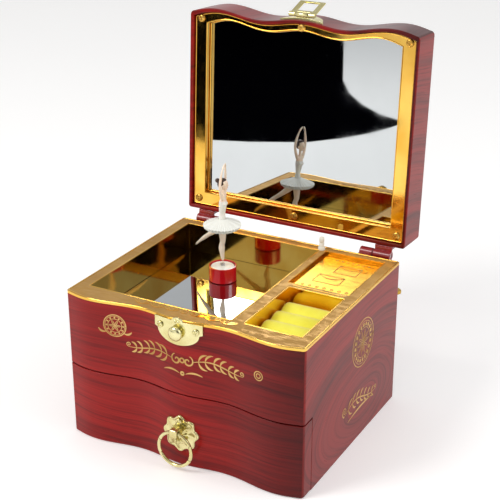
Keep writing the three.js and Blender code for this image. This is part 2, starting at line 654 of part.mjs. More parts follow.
const trainDistance = CYLINDER_Y - DRUM.y;
const trainTeeth = IDLER_GEAR.teeth + SPINDLE_GEAR.teeth;
const idlerRadius = trainDistance * IDLER_GEAR.teeth / trainTeeth;
const spindleRadius = trainDistance * SPINDLE_GEAR.teeth / trainTeeth;
const crownToothSize = crownTooth(CROWN);
const CROWN_FACE_Z = BARREL.z - SHAFT_PINION.radius - crownToothSize.root;
const crownWheel = join(
  rod(SHAFT_R, BRACKET.z0 + 0.2, CROWN_FACE_Z, 'z', 10),
  rod(CROWN.radius + 1.3, CROWN_FACE_Z - CROWN.t, CROWN_FACE_Z, 'z', 18),
  ...crownTeeth(CROWN, CROWN_FACE_Z, crownToothSize.height, 0, 'z'),
  // a tooth of the spur gear points at the spindle, towards -Y
  spurGear(IDLER_GEAR, idlerRadius, -Math.PI / 2, 'z'),
  rod(2.6, BRACKET.z1 + 0.3, IDLER_GEAR.z0 + 1, 'z', 12),
);
add(idler, 'crown_wheel', crownWheel, gearPlastic);

// ---------------------------------------------------------------- turntable
const turntable = new THREE.Group();
turntable.position.set(DRUM.x, DRUM.y, 0);
group.add(turntable);

const spindle = join(
  rod(SPINDLE_R, BRACKET.z0 + 0.2, DRUM.z0 + 5, 'z', 12),
  // a gap of the spindle gear faces the spur gear, towards +Y
  spurGear(SPINDLE_GEAR, spindleRadius, Math.PI / 2 + Math.PI / SPINDLE_GEAR.teeth, 'z'),
);
add(turntable, 'spindle', spindle, gearPlastic);

const DISC_Z = 80.7;
const DRUM_BORE_R = SPINDLE_R + 0.3;
const drum = turned([
  [DRUM_BORE_R, DRUM.z0], [DRUM.radius, DRUM.z0], [DRUM.radius, DRUM.z1], [DRUM.radius - 1, DRUM.z1],
  [DRUM.radius - 1, DISC_Z - 0.1], [DRUM.radius - 1.6, DISC_Z - 0.1], [DRUM.radius - 1.6, DRUM.z0 + 1.6],
  [DRUM_BORE_R, DRUM.z0 + 1.6], [DRUM_BORE_R, DRUM.z0],
], 'z', 22);
add(turntable, 'drum', whole(drum), redPlastic);
add(turntable, 'drum_disc', whole(rod(DRUM.radius - 1.3, DISC_Z, DISC_Z + 1, 'z', 24)), whitePlastic);

// Small coil spring that lets the dancer fold under the lid.
const SPRING = { z0: DISC_Z + 1.3, z1: FOLD_Z - 0.5, radius: 1.2, wire: 0.25, turns: 3 };
class Helix extends THREE.Curve {
  getPoint(t, target = new THREE.Vector3()) {
    const angle = 2 * Math.PI * SPRING.turns * t;
    const z = SPRING.z0 + (SPRING.z1 - SPRING.z0) * t;
    return target.set(SPRING.radius * Math.cos(angle), SPRING.radius * Math.sin(angle), z);
  }
}
function circle(radius, sides) {
  const points = [];
  for (let i = 0; i < sides; i++) {
    const angle = 2 * Math.PI * i / sides;
    points.push([radius * Math.cos(angle), radius * Math.sin(angle)]);
  }
  return polygon(points);
}
const spring = new THREE.ExtrudeGeometry(circle(SPRING.wire, 5), {
  steps: SPRING.turns * 8, extrudePath: new Helix(), bevelEnabled: false,
});
add(turntable, 'dancer_spring', whole(spring), steel);

// ---------------------------------------------------------------- dancer
// Her own frame: the origin is where she folds, she faces +X and her left hand is at +Y.
const dancer = new THREE.Group();
dancer.position.set(0, 0, FOLD_Z);
dancer.rotation.z = rad(FACING);
turntable.add(dancer);

// A tapering limb with a rounded far end.
function limb(from, to, fromRadius, toRadius, sides = 7) {
  const a = new THREE.Vector3(...from);
  const b = new THREE.Vector3(...to);
  const length = a.distanceTo(b);
  const form = turned([
    [0, -fromRadius * 0.5], [fromRadius * 0.86, -fromRadius * 0.3], [fromRadius, 0],
    [toRadius, length], [toRadius * 0.7, length + toRadius * 0.6], [0, length + toRadius * 0.9],
  ], 'z', sides);
  const turn = new THREE.Quaternion().setFromUnitVectors(
    new THREE.Vector3(0, 0, 1), b.clone().sub(a).normalize(),
  );
  form.applyQuaternion(turn);
  return form.translate(...from);
}

const HIP_Z = 24.5;
const SHOULDER_Z = 42.5;
const HEAD = { x: 1, z: 50.3, radius: 3.1 };
function figure() {
  const parts = [
    limb([0, 0, 0.6], [0, 0, 4.5], 0.8, 1.2),
    limb([0, 0, 4.5], [-0.3, 0, 10.5], 1.1, 1.8),
    limb([-0.3, 0, 10.5], [0, 0, HIP_Z], 1.7, 2.5),
    limb([0, 0.6, HIP_Z - 1], [-13, 0.4, 14], 2.3, 1.6),
    limb([-13, 0.4, 14], [-23.6, 0, 4.7], 1.5, 0.8),
    limb([0, 0, HIP_Z - 1], [0, 0, 30.5], 2.7, 2.3, 10),
    limb([0, 0, 30.5], [0.6, 0, 40], 2.2, 2.9, 10),
    limb([0.6, 0, 40], [0.8, 0, SHOULDER_Z], 2.7, 1.6),
    limb([0.8, 0, SHOULDER_Z - 1], [0.9, 0, 48], 1.2, 1.1),
  ];
  const skull = new THREE.SphereGeometry(HEAD.radius, 10, 8).rotateX(Math.PI / 2).scale(1, 0.86, 1.12);
  parts.push(skull.translate(HEAD.x, 0, HEAD.z));
  const bun = new THREE.SphereGeometry(1.5, 7, 5).rotateX(Math.PI / 2);
  parts.push(bun.translate(HEAD.x - 3, 0, HEAD.z + 1.6));
  for (const side of [-1, 1]) {
    parts.push(limb([0.8, side * 2.1, 41.4], [0.6, side * 5.2, 50.5], 1.1, 0.85));
    parts.push(limb([0.6, side * 5.2, 50.5], [1.6, side * 1.8, 62], 0.85, 0.7));
  }
  return join(...parts);
}
add(dancer, 'dancer', figure(), skin);

const TUTU = { z: 25.3, radius: 11.4, hole: 3.1 };
const tutu = turned([
  [TUTU.hole, TUTU.z + 1.7], [TUTU.hole, TUTU.z - 0.4], [8, TUTU.z - 1], [TUTU.radius, TUTU.z - 0.6],
  [TUTU.radius, TUTU.z - 0.1], [7, TUTU.z + 1.1], [TUTU.hole, TUTU.z + 1.7],
], 'z', 24);
add(dancer, 'tutu', whole(tutu), net);

// ---------------------------------------------------------------- stop pin
// Closing the lid pushes it down, and its foot drops into the path of the governor's blades.
const PIN_LOW_Z = FAN.z + FAN.radius;
const PIN_TIP_R = 0.8;
const pinFoot = box(PIN.x + 0.5, FAN.x1, FAN.y + 3.6, PIN.y, PIN_LOW_Z + 0.8, PIN_LOW_Z + 2.2);
const stopPin = join(
  turned([
    [0, PIN_LOW_Z], [PIN.radius, PIN_LOW_Z], [PIN.radius, PIN.top - 3.2],
    [PIN_TIP_R, PIN.top - 2.8], [PIN_TIP_R, PIN.top - 0.6], [PIN_TIP_R - 0.4, PIN.top], [0, PIN.top],
  ], 'z', 12).translate(PIN.x, PIN.y, 0),
  pinFoot,
);
add(group, 'stop_pin', stopPin, whitePlastic);

// ---------------------------------------------------------------- drawer
const DRAWER = { x: 70.6, y1: 56.5, z0: BASE_T + 0.4, z1: 40, wall: 3, floor: 2 };
const DRAWER_BACK_OF_FRONT = FRONT_BACK_Y - 0.3;
const drawer = new THREE.Group();
group.add(drawer);
const drawerFront = cut(
  prism(plan(0, DRAWER_BACK_OF_FRONT), 0.6, SPLIT_Z - 0.4),
  screwHole(0, PULL_SCREW_Z, FRONT_Y - 4, FRONT_Y + 5),
);
add(drawer, 'drawer_front', drawerFront, redWood);
const drawerInner = DRAWER.x - DRAWER.wall;
const drawerBackY = DRAWER.y1 - DRAWER.wall;
for (const [name, side] of SIDES) {
  const [x0, x1] = [side * DRAWER.x, side * drawerInner].sort((a, b) => a - b);
  const wall = box(x0, x1, DRAWER_BACK_OF_FRONT, DRAWER.y1, DRAWER.z0, DRAWER.z1);
  add(drawer, `drawer_${name}`, wall, board);
}
const drawerBack = box(-drawerInner, drawerInner, drawerBackY, DRAWER.y1, DRAWER.z0, DRAWER.z1);
add(drawer, 'drawer_back', drawerBack, board);
const drawerBottom = box(
  -drawerInner, drawerInner, DRAWER_BACK_OF_FRONT, drawerBackY, DRAWER.z0, DRAWER.z0 + DRAWER.floor,
);
add(drawer, 'drawer_bottom', drawerBottom, board);

// Flower-shaped plate with a boss that the ring hangs in.
function pullOutline() {
  const points = [];
  const lobes = 8;
  const steps = lobes * 6;
  for (let i = 0; i < steps; i++) {
    const angle = 2 * Math.PI * i / steps;
    const radius = 10.6 + 0.8 * Math.cos(lobes * angle);
    points.push([radius * Math.sin(angle), PULL.z + radius * Math.cos(angle)]);
  }
  return polygon(points);
}
const pullPlate = cut(
  join(
    bentPlate(pullOutline(), 1.4),
    box(-2.4, 2.4, PULL.y - 2.4, FRONT_Y - WAVE_MID - 1, RING_TOP_Z - 2.6, RING_TOP_Z + 2.6),
  ),
  rod(1.65, -4, 4, 'x', 12).translate(0, PULL.y, RING_TOP_Z),
  screwHole(0, PULL_SCREW_Z, FRONT_Y - 6, FRONT_Y + 2),
);
add(drawer, 'pull_plate', pullPlate, paleBrass);
const pullScrew = screw(5, 'y', -1, SMALL_SCREW);
pullScrew.translate(0, FRONT_Y - WAVE_MID - 1.75, PULL_SCREW_Z);
add(drawer, 'pull_screw', whole(pullScrew), steel);

// Ring of round wire, hanging in the plane x z.
const ring = new THREE.TorusGeometry(PULL.ringRadius, PULL.wire, 8, 26).rotateX(Math.PI / 2);
ring.translate(0, PULL.y, RING_TOP_Z - PULL.ringRadius);
add(drawer, 'pull_ring', whole(ring), paleBrass);

// ---------------------------------------------------------------- lid
// Drawn closed, then turned open about the hinge line.
const lid = new THREE.Group();
lid.position.set(0, HINGE.y, HINGE.z);
lid.rotation.x = -rad(LID_OPEN);
group.add(lid);

function onLid(geometry) {
  return whole(geometry.translate(0, -HINGE.y, -HINGE.z));
}

// The window in the frame; its front edge follows the serpentine.
function windowOutline(grow) {
  const half = WINDOW.x + grow;
  const line = frontLine(WINDOW.y0 - FRONT_Y - grow, half, 20);
  return polygon([[-half, WINDOW.y1 + grow], ...line, [half, WINDOW.y1 + grow]]);
}

const screwHoles = FRAME_SCREWS.map(([x, y]) => {
  const hole = rod(SCREW.hole, LID_RIM_Z, LID_RIM_Z + 9, 'z', 8);
  return hole.translate(x, y, 0);
});
const lidShell = cut(
  prism(plan(), LID_RIM_Z, LID_TOP_Z),
  prism(plan(LID_WALL, BACK_Y - LID_WALL), LID_RIM_Z - 1, FRAME_FACE_Z + FRAME_T),
  prism(windowOutline(2.4), LID_RIM_Z, LID_MIRROR_Z + 1),
  box(-58, 58, -50, 46, LID_RIM_Z, LID_TOP_Z - 2.6),
  ...screwHoles,
);
add(lid, 'lid_shell', onLid(lidShell), redWood);

const lidFrame = cut(
  join(
    prism(plan(LID_WALL + 0.3, BACK_Y - LID_WALL - 0.3), FRAME_FACE_Z, FRAME_FACE_Z + FRAME_T - 0.1),
    prism(windowOutline(1.8), FRAME_FACE_Z + 0.2, LID_MIRROR_Z - 0.3),
  ),
  prism(windowOutline(0), LID_RIM_Z, LID_MIRROR_Z + 1),
  ...screwHoles,
);
add(lid, 'lid_frame', onLid(lidFrame), gold);
add(lid, 'lid_mirror', onLid(prism(windowOutline(2), LID_MIRROR_Z, LID_MIRROR_Z + 0.9)), mirrorGlass);

FRAME_SCREWS.forEach(([x, y], i) => {
  const piece = screw(3.6, 'z', -1).translate(x, y, FRAME_FACE_Z - 0.05);
  add(lid, `lid_screw_${i + 1}`, onLid(piece), gold);
});

for (const [name, side] of SIDES) {
  const arm = hingeHalf(side, KNUCKLE.lidInner, KNUCKLE.lidOuter, HINGE.z + 0.6, LEAF.lidTop);
  add(lid, `hinge_arm_${name}`, onLid(arm), redPlastic);
}

// ---------------------------------------------------------------- hasp
const HASP_PLATE = { half: 14, bottom: 93, top: 104.5 };
function haspPlateOutline() {
  const points = [[HASP_PLATE.half, HASP_PLATE.bottom], [-HASP_PLATE.half, HASP_PLATE.bottom]];
  for (let i = 1; i < 8; i++) {
    const angle = Math.PI * (1 - i / 8);
    const rise = HASP_PLATE.top - HASP_PLATE.bottom;
    points.push([(HASP_PLATE.half - 1) * Math.cos(angle), HASP_PLATE.bottom + rise * Math.sin(angle)]);
  }
  return polygon(points);
}
const HASP_KNUCKLE = { outer: 1.5, bore: 1, middle: 4, inner: 4.4, end: 8.4 };
const middleKnuckle = rod(HASP_KNUCKLE.outer, -HASP_KNUCKLE.middle, HASP_KNUCKLE.middle, 'x', 12);
const knuckleWeb = box(
  -HASP_KNUCKLE.middle, HASP_KNUCKLE.middle,
  HASP_PIN.y, FRONT_Y - WAVE_MID - 0.6, HASP_PIN.z - 0.5, HASP_PIN.z + 1.2,
);
const haspPlate = cut(
  join(
    bentPlate(haspPlateOutline(), 1),
    middleKnuckle.translate(0, HASP_PIN.y, HASP_PIN.z),
    knuckleWeb,
  ),
  rod(HASP_KNUCKLE.bore, -9, 9, 'x', 12).translate(0, HASP_PIN.y, HASP_PIN.z),
);
add(lid, 'hasp_plate', onLid(haspPlate), paleBrass);
const haspPin = rod(HASP_PIN.radius, -8.2, 8.2, 'x', 10).translate(0, HASP_PIN.y, HASP_PIN.z);
add(lid, 'hasp_pin', onLid(haspPin), paleBrass);

// Loop: drawn hanging down over the knob, about its own pin, then folded back.
const hasp = new THREE.Group();
hasp.position.set(0, HASP_PIN.y - HINGE.y, HASP_PIN.z - HINGE.z);
hasp.rotation.x = -rad(HASP_FOLDED_BACK);
lid.add(hasp);
const LOOP = { half: 8.4, length: 15.5, eyeHalf: 5, eyeTop: -4.2, eyeBottom: -14, t: 1 };
function haspLoop() {
  const sheet = cut(
    box(-LOOP.half, LOOP.half, -LOOP.t / 2, LOOP.t / 2, -LOOP.length, 0),
    box(-LOOP.eyeHalf, LOOP.eyeHalf, -2, 2, LOOP.eyeBottom, LOOP.eyeTop),
    box(-HASP_KNUCKLE.inner, HASP_KNUCKLE.inner, -2, 2, -2.2, 2),
  );
  const ends = [[-LOOP.half, -HASP_KNUCKLE.inner], [HASP_KNUCKLE.inner, LOOP.half]];
  const knuckles = ends.map(([x0, x1]) => rod(HASP_KNUCKLE.outer, x0, x1, 'x', 12));
  return cut(join(sheet, ...knuckles), rod(HASP_KNUCKLE.bore, -9, 9, 'x', 12));
}
add(hasp, 'hasp', haspLoop(), paleBrass);

export default group;
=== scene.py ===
"""Looks of the musical jewellery box: wood skin, gilded tray and lid frame, fittings, dancer and ring pad."""
import random
from math import atan2, cos, exp, hypot, pi, radians, sin

import bmesh
import bpy
from mathutils import Matrix, Vector


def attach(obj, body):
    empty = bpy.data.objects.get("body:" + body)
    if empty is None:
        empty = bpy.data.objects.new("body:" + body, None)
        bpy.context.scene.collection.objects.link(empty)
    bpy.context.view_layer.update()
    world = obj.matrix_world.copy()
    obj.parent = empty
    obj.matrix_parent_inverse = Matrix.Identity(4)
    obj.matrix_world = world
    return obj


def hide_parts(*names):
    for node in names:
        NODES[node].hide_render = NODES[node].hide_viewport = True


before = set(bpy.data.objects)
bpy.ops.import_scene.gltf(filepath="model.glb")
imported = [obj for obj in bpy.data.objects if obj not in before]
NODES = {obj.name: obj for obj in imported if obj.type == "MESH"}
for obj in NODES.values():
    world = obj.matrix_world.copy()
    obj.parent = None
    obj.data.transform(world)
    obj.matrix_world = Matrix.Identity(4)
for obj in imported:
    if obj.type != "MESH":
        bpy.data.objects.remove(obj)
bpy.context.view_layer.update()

# ------------------------------------------------------------ dimensions, in millimetres like the CAD
MM = 0.001
SIDE_X, FRONT_Y, BACK_Y = 75, -63, 63
FRONT_BACK_Y = -53                     # flat inner face of the front panel
RIM_Z, FLANGE_Z = 91, 89.6
SPLIT_Z = 45.5
LID_RIM_Z, LID_TOP_Z = 91.3, 116.4
HINGE_Y, HINGE_Z, LID_OPEN = 68.8, 90.8, 93.2
HASP_Y, HASP_Z, HASP_BACK = -68.2, 93.6, 159
WAVE_MID, WAVE_HOLLOW, WAVE_SHOULDER = 2.3, -0.6, 3.3
HOLLOW_X, SHOULDER_X = 27, 58
STAGE = (-66.5, 25, -51.5, 56, 71.7)
WELL = (33.5, 67, -51.5, 0.5, 73)
PANEL = (30, 67.5, 6.3, 57, 89)
DRUM_X, DRUM_Y, FOLD_Z, FACING = -25, 26.5, 84.2, -17.2
PIN_X, PIN_Y = 26, 58.5
PULL_Z, RING_Y, RING_TOP_Z, RING_R, RING_WIRE = 21, -71.6, 24.3, 10.4, 1.05
LATCH_Z, LATCH_SCREW_X, LATCH_SCREW_Z = 84, 11.2, 86
KEY_X, KEY_Z, KEY_Y = 60, 64, BACK_Y + 15.4
LIP_Z = 93.7                           # outer face of the lid frame
FLOOR = 20000


def rotation(degrees, axis):
    return Matrix.Rotation(radians(degrees), 4, axis)


LID = (Matrix.Translation((0, HINGE_Y, HINGE_Z)) @ rotation(-LID_OPEN, "X")
       @ Matrix.Translation((0, -HINGE_Y, -HINGE_Z)))
HASP = LID @ Matrix.Translation((0, HASP_Y, HASP_Z)) @ rotation(-HASP_BACK, "X")
DANCER = Matrix.Translation((DRUM_X, DRUM_Y, FOLD_Z)) @ rotation(FACING, "Z")
HERE = Matrix.Identity(4)


def shown(name, data):
    made = bpy.data.objects.new(name, data)
    bpy.context.scene.collection.objects.link(made)
    return made


# ------------------------------------------------------------ materials
def srgb(r, g, b):
    def line(c):
        c /= 255
        return c / 12.92 if c <= 0.04045 else ((c + 0.055) / 1.055) ** 2.4
    return (line(r), line(g), line(b), 1)


class Look:
    """A material with a Principled shader and small helpers to wire procedural nodes into it."""

    def __init__(self, name, **settings):
        self.material = bpy.data.materials.new(name)
        self.material.use_nodes = True
        self.tree = self.material.node_tree
        self.shader = self.tree.nodes["Principled BSDF"]
        for key, value in settings.items():
            self.shader.inputs[key.replace("_", " ")].default_value = value
        self.coords = self.node("ShaderNodeTexCoord").outputs["Object"]

    def node(self, kind, _inputs=None, **attributes):
        made = self.tree.nodes.new(kind)
        for key, value in attributes.items():
            setattr(made, key, value)
        for key, value in (_inputs or {}).items():
            socket = made.inputs[key]
            if isinstance(value, bpy.types.NodeSocket):
                self.tree.links.new(value, socket)
            else:
                socket.default_value = value
        return made

    def link(self, output, name):
        self.tree.links.new(output, self.shader.inputs[name])

    def math(self, operation, a, b=0.0):
        return self.node("ShaderNodeMath", {0: a, 1: b}, operation=operation).outputs[0]

    def times(self, a, b):
        return self.math("MULTIPLY", a, b)

    def plus(self, a, b):
        return self.math("ADD", a, b)

    def minus(self, a, b):
        return self.math("SUBTRACT", a, b)

    def scaled(self, x, y, z):
        made = self.node("ShaderNodeMapping", {"Vector": self.coords, "Scale": (x, y, z)})
        return made.outputs["Vector"]

    def noise(self, scale, detail=3.0, vector=None, roughness=0.55):
        return self.node("ShaderNodeTexNoise", {
            "Vector": vector or self.coords, "Scale": scale, "Detail": detail,
            "Roughness": roughness}).outputs["Fac"]

    def ramp(self, factor, *stops):
        made = self.node("ShaderNodeValToRGB", {"Fac": factor})
        elements = made.color_ramp.elements
        while len(elements) < len(stops):
            elements.new(0.5)
        for element, (position, colour) in zip(elements, stops):
            element.position = position
            element.color = colour
        return made.outputs["Color"]

    def mix(self, factor, a, b, blend="MIX"):
        made = self.node("ShaderNodeMix", data_type="RGBA", blend_type=blend)
        for index, value in ((0, factor), (6, a), (7, b)):
            if isinstance(value, bpy.types.NodeSocket):
                self.tree.links.new(value, made.inputs[index])
            else:
                made.inputs[index].default_value = value
        return made.outputs[2]

    def span(self, value, low, high, to_low=0.0, to_high=1.0):
        return self.node("ShaderNodeMapRange", {
            "Value": value, "From Min": low, "From Max": high,
            "To Min": to_low, "To Max": to_high}).outputs["Result"]

    def tones(self, factor, *stops):
        """Base colour from (position, 0-255 colour) stops."""
        self.link(self.ramp(factor, *[(at, srgb(*colour)) for at, colour in stops]), "Base Color")

    def gloss(self, factor, low, high, smooth, rough):
        self.link(self.span(factor, low, high, smooth, rough), "Roughness")

    def axes(self):
        return self.node("ShaderNodeSeparateXYZ", {0: self.coords}).outputs

    def bump(self, height, distance, strength=0.5):
        made = self.node("ShaderNodeBump", {"Height": height, "Distance": distance, "Strength": strength})
        self.link(made.outputs["Normal"], "Normal")


def wood_lacquer():
    look = Look("red_lacquer", Coat_Weight=0.14, Coat_Roughness=0.12, Coat_IOR=1.45, Roughness=0.36)
    look.shader.inputs["Specular IOR Level"].default_value = 0.17
    x, y, z = look.axes()
    # rings bend round a point low on the sides, and run nearly straight along the front
    wander = look.noise(9, 2)
    lift = look.times(look.minus(wander, 0.5), 0.022)
    straight = look.plus(z, lift)
    across = look.times(look.minus(y, 0.012), 0.42)
    upward = look.minus(z, 0.022)
    arc = look.math("SQRT", look.plus(look.times(across, across),
                                      look.times(upward, upward)))
    side = look.span(look.math("ABSOLUTE", x), 0.0742, 0.0746)
    level = look.plus(look.times(straight, look.minus(1.0, side)),
                      look.times(look.plus(arc, lift), side))
    grain_at = look.node("ShaderNodeCombineXYZ", {
        0: look.times(x, 4.0), 1: look.times(y, 4.0),
        2: look.times(level, 170.0)}).outputs[0]
    bands = look.noise(1.0, 4, grain_at, 0.6)
    fine_at = look.node("ShaderNodeCombineXYZ", {
        0: look.times(x, 22.0), 1: look.times(y, 22.0),
        2: look.times(level, 900.0)}).outputs[0]
    fibres = look.noise(1.0, 3, fine_at, 0.65)
    base = look.ramp(bands, (0.26, srgb(92, 8, 8)), (0.42, srgb(126, 13, 11)),
                     (0.56, srgb(145, 18, 14)), (0.74, srgb(158, 26, 20)))
    # painted shade: the side faces are mixed towards a dark brown
    base = look.mix(look.times(side, 0.3), base, srgb(92, 40, 36))
    streak = look.ramp(fibres, (0.30, srgb(128, 92, 90)), (0.52, (1, 1, 1, 1)))
    tinted = look.mix(0.6, base, streak, "MULTIPLY")
    # painted shade: the front is darkened towards its right end
    ends = look.times(look.span(x, 0.012, 0.074), look.minus(1.0, side))
    shade = look.mix(ends, (1, 1, 1, 1), srgb(158, 150, 152))
    look.link(look.mix(1.0, tinted, shade, "MULTIPLY"), "Base Color")
    look.gloss(fibres, 0.2, 0.8, 0.36, 0.27)
    look.bump(fibres, 0.00003, 0.25)
    return look.material


def plain_board():
    look = Look("raw_board", Roughness=0.7)
    grain_at = look.scaled(40, 6, 160)
    grain = look.noise(1.0, 4, grain_at, 0.6)
    look.tones(grain, (0.3, (150, 112, 76)), (0.6, (196, 160, 116)), (0.8, (212, 180, 138)))
    look.gloss(look.noise(300, 2), 0.3, 0.7, 0.6, 0.82)
    look.bump(grain, 0.00015, 0.4)
    return look.material


def gilt(name, colour, dark, roughness, grain=0.0, scale=900, metallic=1.0):
    """Metallised plastic: colour clouds, fine handling marks in the gloss, and an optional satin grain."""
    look = Look(name, Metallic=metallic)
    look.tones(look.noise(34, 3), (0.3, dark), (0.65, colour))
    look.gloss(look.noise(170, 4, look.scaled(1, 3, 1)), 0.3, 0.75, roughness, roughness * 1.9 + 0.02)
    if grain:
        look.bump(look.noise(scale, 2), grain, 0.6)
    else:
        look.bump(look.noise(60, 1), 0.00004, 0.12)
    return look.material


def mirror_glass():
    look = Look("mirror", Metallic=1.0)
    look.tones(look.noise(18, 4), (0.35, (196, 200, 202)), (0.8, (204, 208, 210)))
    look.gloss(look.noise(55, 5), 0.45, 0.8, 0.012, 0.042)
    return look.material


def plastic(name, colour, deep, roughness, coat):
    look = Look(name, Coat_Weight=coat, Coat_Roughness=0.06)
    look.tones(look.noise(45, 3), (0.3, deep), (0.7, colour))
    look.gloss(look.noise(260, 3), 0.3, 0.7, roughness, roughness + 0.08)
    look.bump(look.noise(700, 2), 0.00002, 0.3)
    return look.material


def metal(name, colour, dark, roughness, brushed=(1, 1, 1)):
    look = Look(name, Metallic=1.0)
    look.tones(look.noise(60, 4, look.scaled(*brushed)), (0.3, dark), (0.62, colour))
    wear = look.noise(420, 4, look.scaled(*brushed))
    look.gloss(wear, 0.3, 0.7, roughness, roughness + 0.14)
    look.bump(wear, 0.00002, 0.35)
    return look.material


def foam():
    look = Look("ring_foam", Roughness=0.9, Sheen_Weight=0.5, Sheen_Roughness=0.4)
    look.tones(look.noise(70, 3), (0.3, (240, 230, 62)), (0.7, (252, 248, 92)))
    look.bump(look.noise(1500, 2), 0.00012, 0.7)
    return look.material


def figure_paint():
    """Moulded and painted doll: skin, with an off-white bodice between the hips and the chest."""
    look = Look("figure_paint", Roughness=0.42, Subsurface_Weight=0.12, Subsurface_Scale=0.002)
    look.shader.inputs["Subsurface Radius"].default_value = (1.0, 0.5, 0.3)
    z = look.axes()[2]
    soft = look.noise(120, 3)
    skin = look.ramp(soft, (0.3, srgb(241, 214, 188)), (0.7, srgb(251, 232, 210)))
    legs = look.ramp(soft, (0.3, srgb(232, 214, 190)), (0.7, srgb(246, 232, 212)))
    cloth = look.ramp(soft, (0.3, srgb(226, 226, 214)), (0.7, srgb(246, 245, 236)))
    lower = look.mix(look.span(z, 0.1065, 0.1080), legs, cloth)
    look.link(look.mix(look.span(z, 0.12395, 0.12425), lower, skin), "Base Color")
    look.gloss(look.noise(300, 2), 0.3, 0.7, 0.36, 0.5)
    look.bump(look.noise(500, 2), 0.00002, 0.3)
    return look.material


def tutu_net():
    look = Look("tutu_net", Roughness=0.6, Sheen_Weight=0.3, Transmission_Weight=0.04)
    x, y, _ = look.axes()
    dx = look.minus(x, DRUM_X * MM)
    dy = look.minus(y, DRUM_Y * MM)
    angle = look.math("ARCTAN2", dy, dx)
    # painted shade and light: radial stripes stand for the shade and light of the pleats
    pleat_shade = look.math("SINE", look.times(angle, 46.0))
    mesh = look.noise(2600, 1)
    tone = look.plus(look.times(pleat_shade, 0.25), mesh)
    look.tones(tone, (0.2, (228, 228, 216)), (0.75, (252, 252, 246)))
    look.gloss(mesh, 0.3, 0.7, 0.5, 0.75)
    look.bump(mesh, 0.00006, 0.5)
    return look.material


def hair_paint():
    look = Look("hair_paint", Coat_Weight=0.2, Roughness=0.35)
    strands = look.noise(420, 3, look.scaled(1, 1, 0.25))
    look.tones(strands, (0.3, (30, 16, 12)), (0.7, (68, 40, 28)))
    look.bump(strands, 0.0001, 0.6)
    return look.material


WOOD = wood_lacquer()
BOARD = plain_board()
GOLD = gilt("gold_plate", (246, 200, 98), (228, 168, 62), 0.05)
SATIN = gilt("gold_satin", (200, 158, 90), (186, 142, 74), 0.4, 0.00006, 1100, 0.66)
PANEL_GOLD = gilt("gold_panel", (238, 184, 62), (222, 158, 38), 0.14, 0.00003, 300)
PRINT = gilt("gold_print", (222, 186, 120), (186, 146, 84), 0.34, 0.00002, 900)
MIRROR = mirror_glass()
PALE_BRASS = metal("pale_brass", (234, 226, 172), (206, 192, 126), 0.16)
STEEL = metal("screw_steel", (206, 206, 204), (150, 150, 150), 0.24)
GOLD_SCREW = metal("gold_screw", (234, 192, 100), (190, 140, 58), 0.2)
BRASS = metal("movement_brass", (222, 184, 96), (176, 136, 60), 0.25, (1, 6, 1))
DARK_STEEL = metal("spring_steel", (96, 100, 110), (58, 60, 70), 0.3)
HINGE_RED = plastic("hinge_plastic", (160, 22, 26), (112, 10, 18), 0.22, 0.5)
DRUM_RED = plastic("drum_plastic", (214, 20, 30), (176, 8, 20), 0.12, 0.7)
WHITE = plastic("white_plastic", (246, 242, 230), (228, 222, 206), 0.34, 0.1)
NATURAL = plastic("gear_plastic", (232, 226, 206), (206, 198, 174), 0.4, 0.0)
FOAM = foam()
FIGURE = figure_paint()
NET = tutu_net()
HAIR = hair_paint()
INK = plastic("face_ink", (60, 34, 26), (34, 18, 14), 0.4, 0.0)
LIP = plastic("lip_paint", (206, 84, 84), (176, 58, 62), 0.4, 0.1)

CAD_LOOKS = {
    BOARD: ["base_board", "middle_board", "drawer_left", "drawer_right", "drawer_back", "drawer_bottom"],
    MIRROR: ["floor_mirror", "lid_mirror"],
    PALE_BRASS: ["hasp_pin"],
    STEEL: ["hinge_pin_left", "hinge_pin_right", "comb", "comb_screw", "drive_bracket", "governor_fan",
            "dancer_spring"],
    BRASS: ["movement_bedplate", "spring_barrel", "main_gear", "cylinder"],
    DARK_STEEL: ["mainspring"],
    NATURAL: ["crown_wheel", "spindle"],
}
for look, names in CAD_LOOKS.items():
    for name in names:
        NODES[name].data.materials.clear()
        NODES[name].data.materials.append(look)


# ------------------------------------------------------------ mesh tools, all in millimetres
def piece(name, verts, faces, look):
    mesh = bpy.data.meshes.new(name)
    mesh.from_pydata([Vector(v) * MM for v in verts], [], faces)
    mesh.materials.append(look)
    made = shown(name, mesh)
    work = bmesh.new()
    work.from_mesh(mesh)
    bmesh.ops.remove_doubles(work, verts=work.verts, dist=1e-7)
    bmesh.ops.recalc_face_normals(work, faces=work.faces)
    work.to_mesh(mesh)
    work.free()
    return made


def bands(count, n, start=0):
    """Faces that join count + 1 stacked loops of n vertices each."""
    return [(a + i, a + (i + 1) % n, a + n + (i + 1) % n, a + n + i)
            for a in range(start, start + count * n, n) for i in range(n)]


def belong(made, body, stands_for=()):
    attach(made, body)
    if stands_for:
        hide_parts(*stands_for)
    return made


def settle(made):
    """Turns the modifiers of an object into plain mesh."""
    graph = bpy.context.evaluated_depsgraph_get()
    mesh = bpy.data.meshes.new_from_object(made.evaluated_get(graph), depsgraph=graph)
    made.modifiers.clear()
    made.data = mesh
    return made


def modify(made, kind, **settings):
    """Adds one modifier and settles it."""
    modifier = made.modifiers.new(kind.lower(), kind)
    for key, value in settings.items():
        setattr(modifier, key, value)
    return settle(made)


def remesh(made, voxel):
    return modify(made, "REMESH", mode="VOXEL", voxel_size=voxel * MM)


def relax(made, rounds):
    return modify(made, "SMOOTH", factor=0.5, iterations=rounds)


def carve(made, *tools, operation="DIFFERENCE"):
    for tool in tools:
        modify(made, "BOOLEAN", operation=operation, solver="EXACT", object=tool)
        bpy.data.objects.remove(tool)
    return made


def soften(made, width, segments=3, angle=35):
    """Rounds the sharp edges and shades the rest smoothly."""
    modify(made, "BEVEL", width=width * MM, segments=segments, limit_method="ANGLE",
           angle_limit=radians(angle), use_clamp_overlap=True)
    return smooth(made, angle)


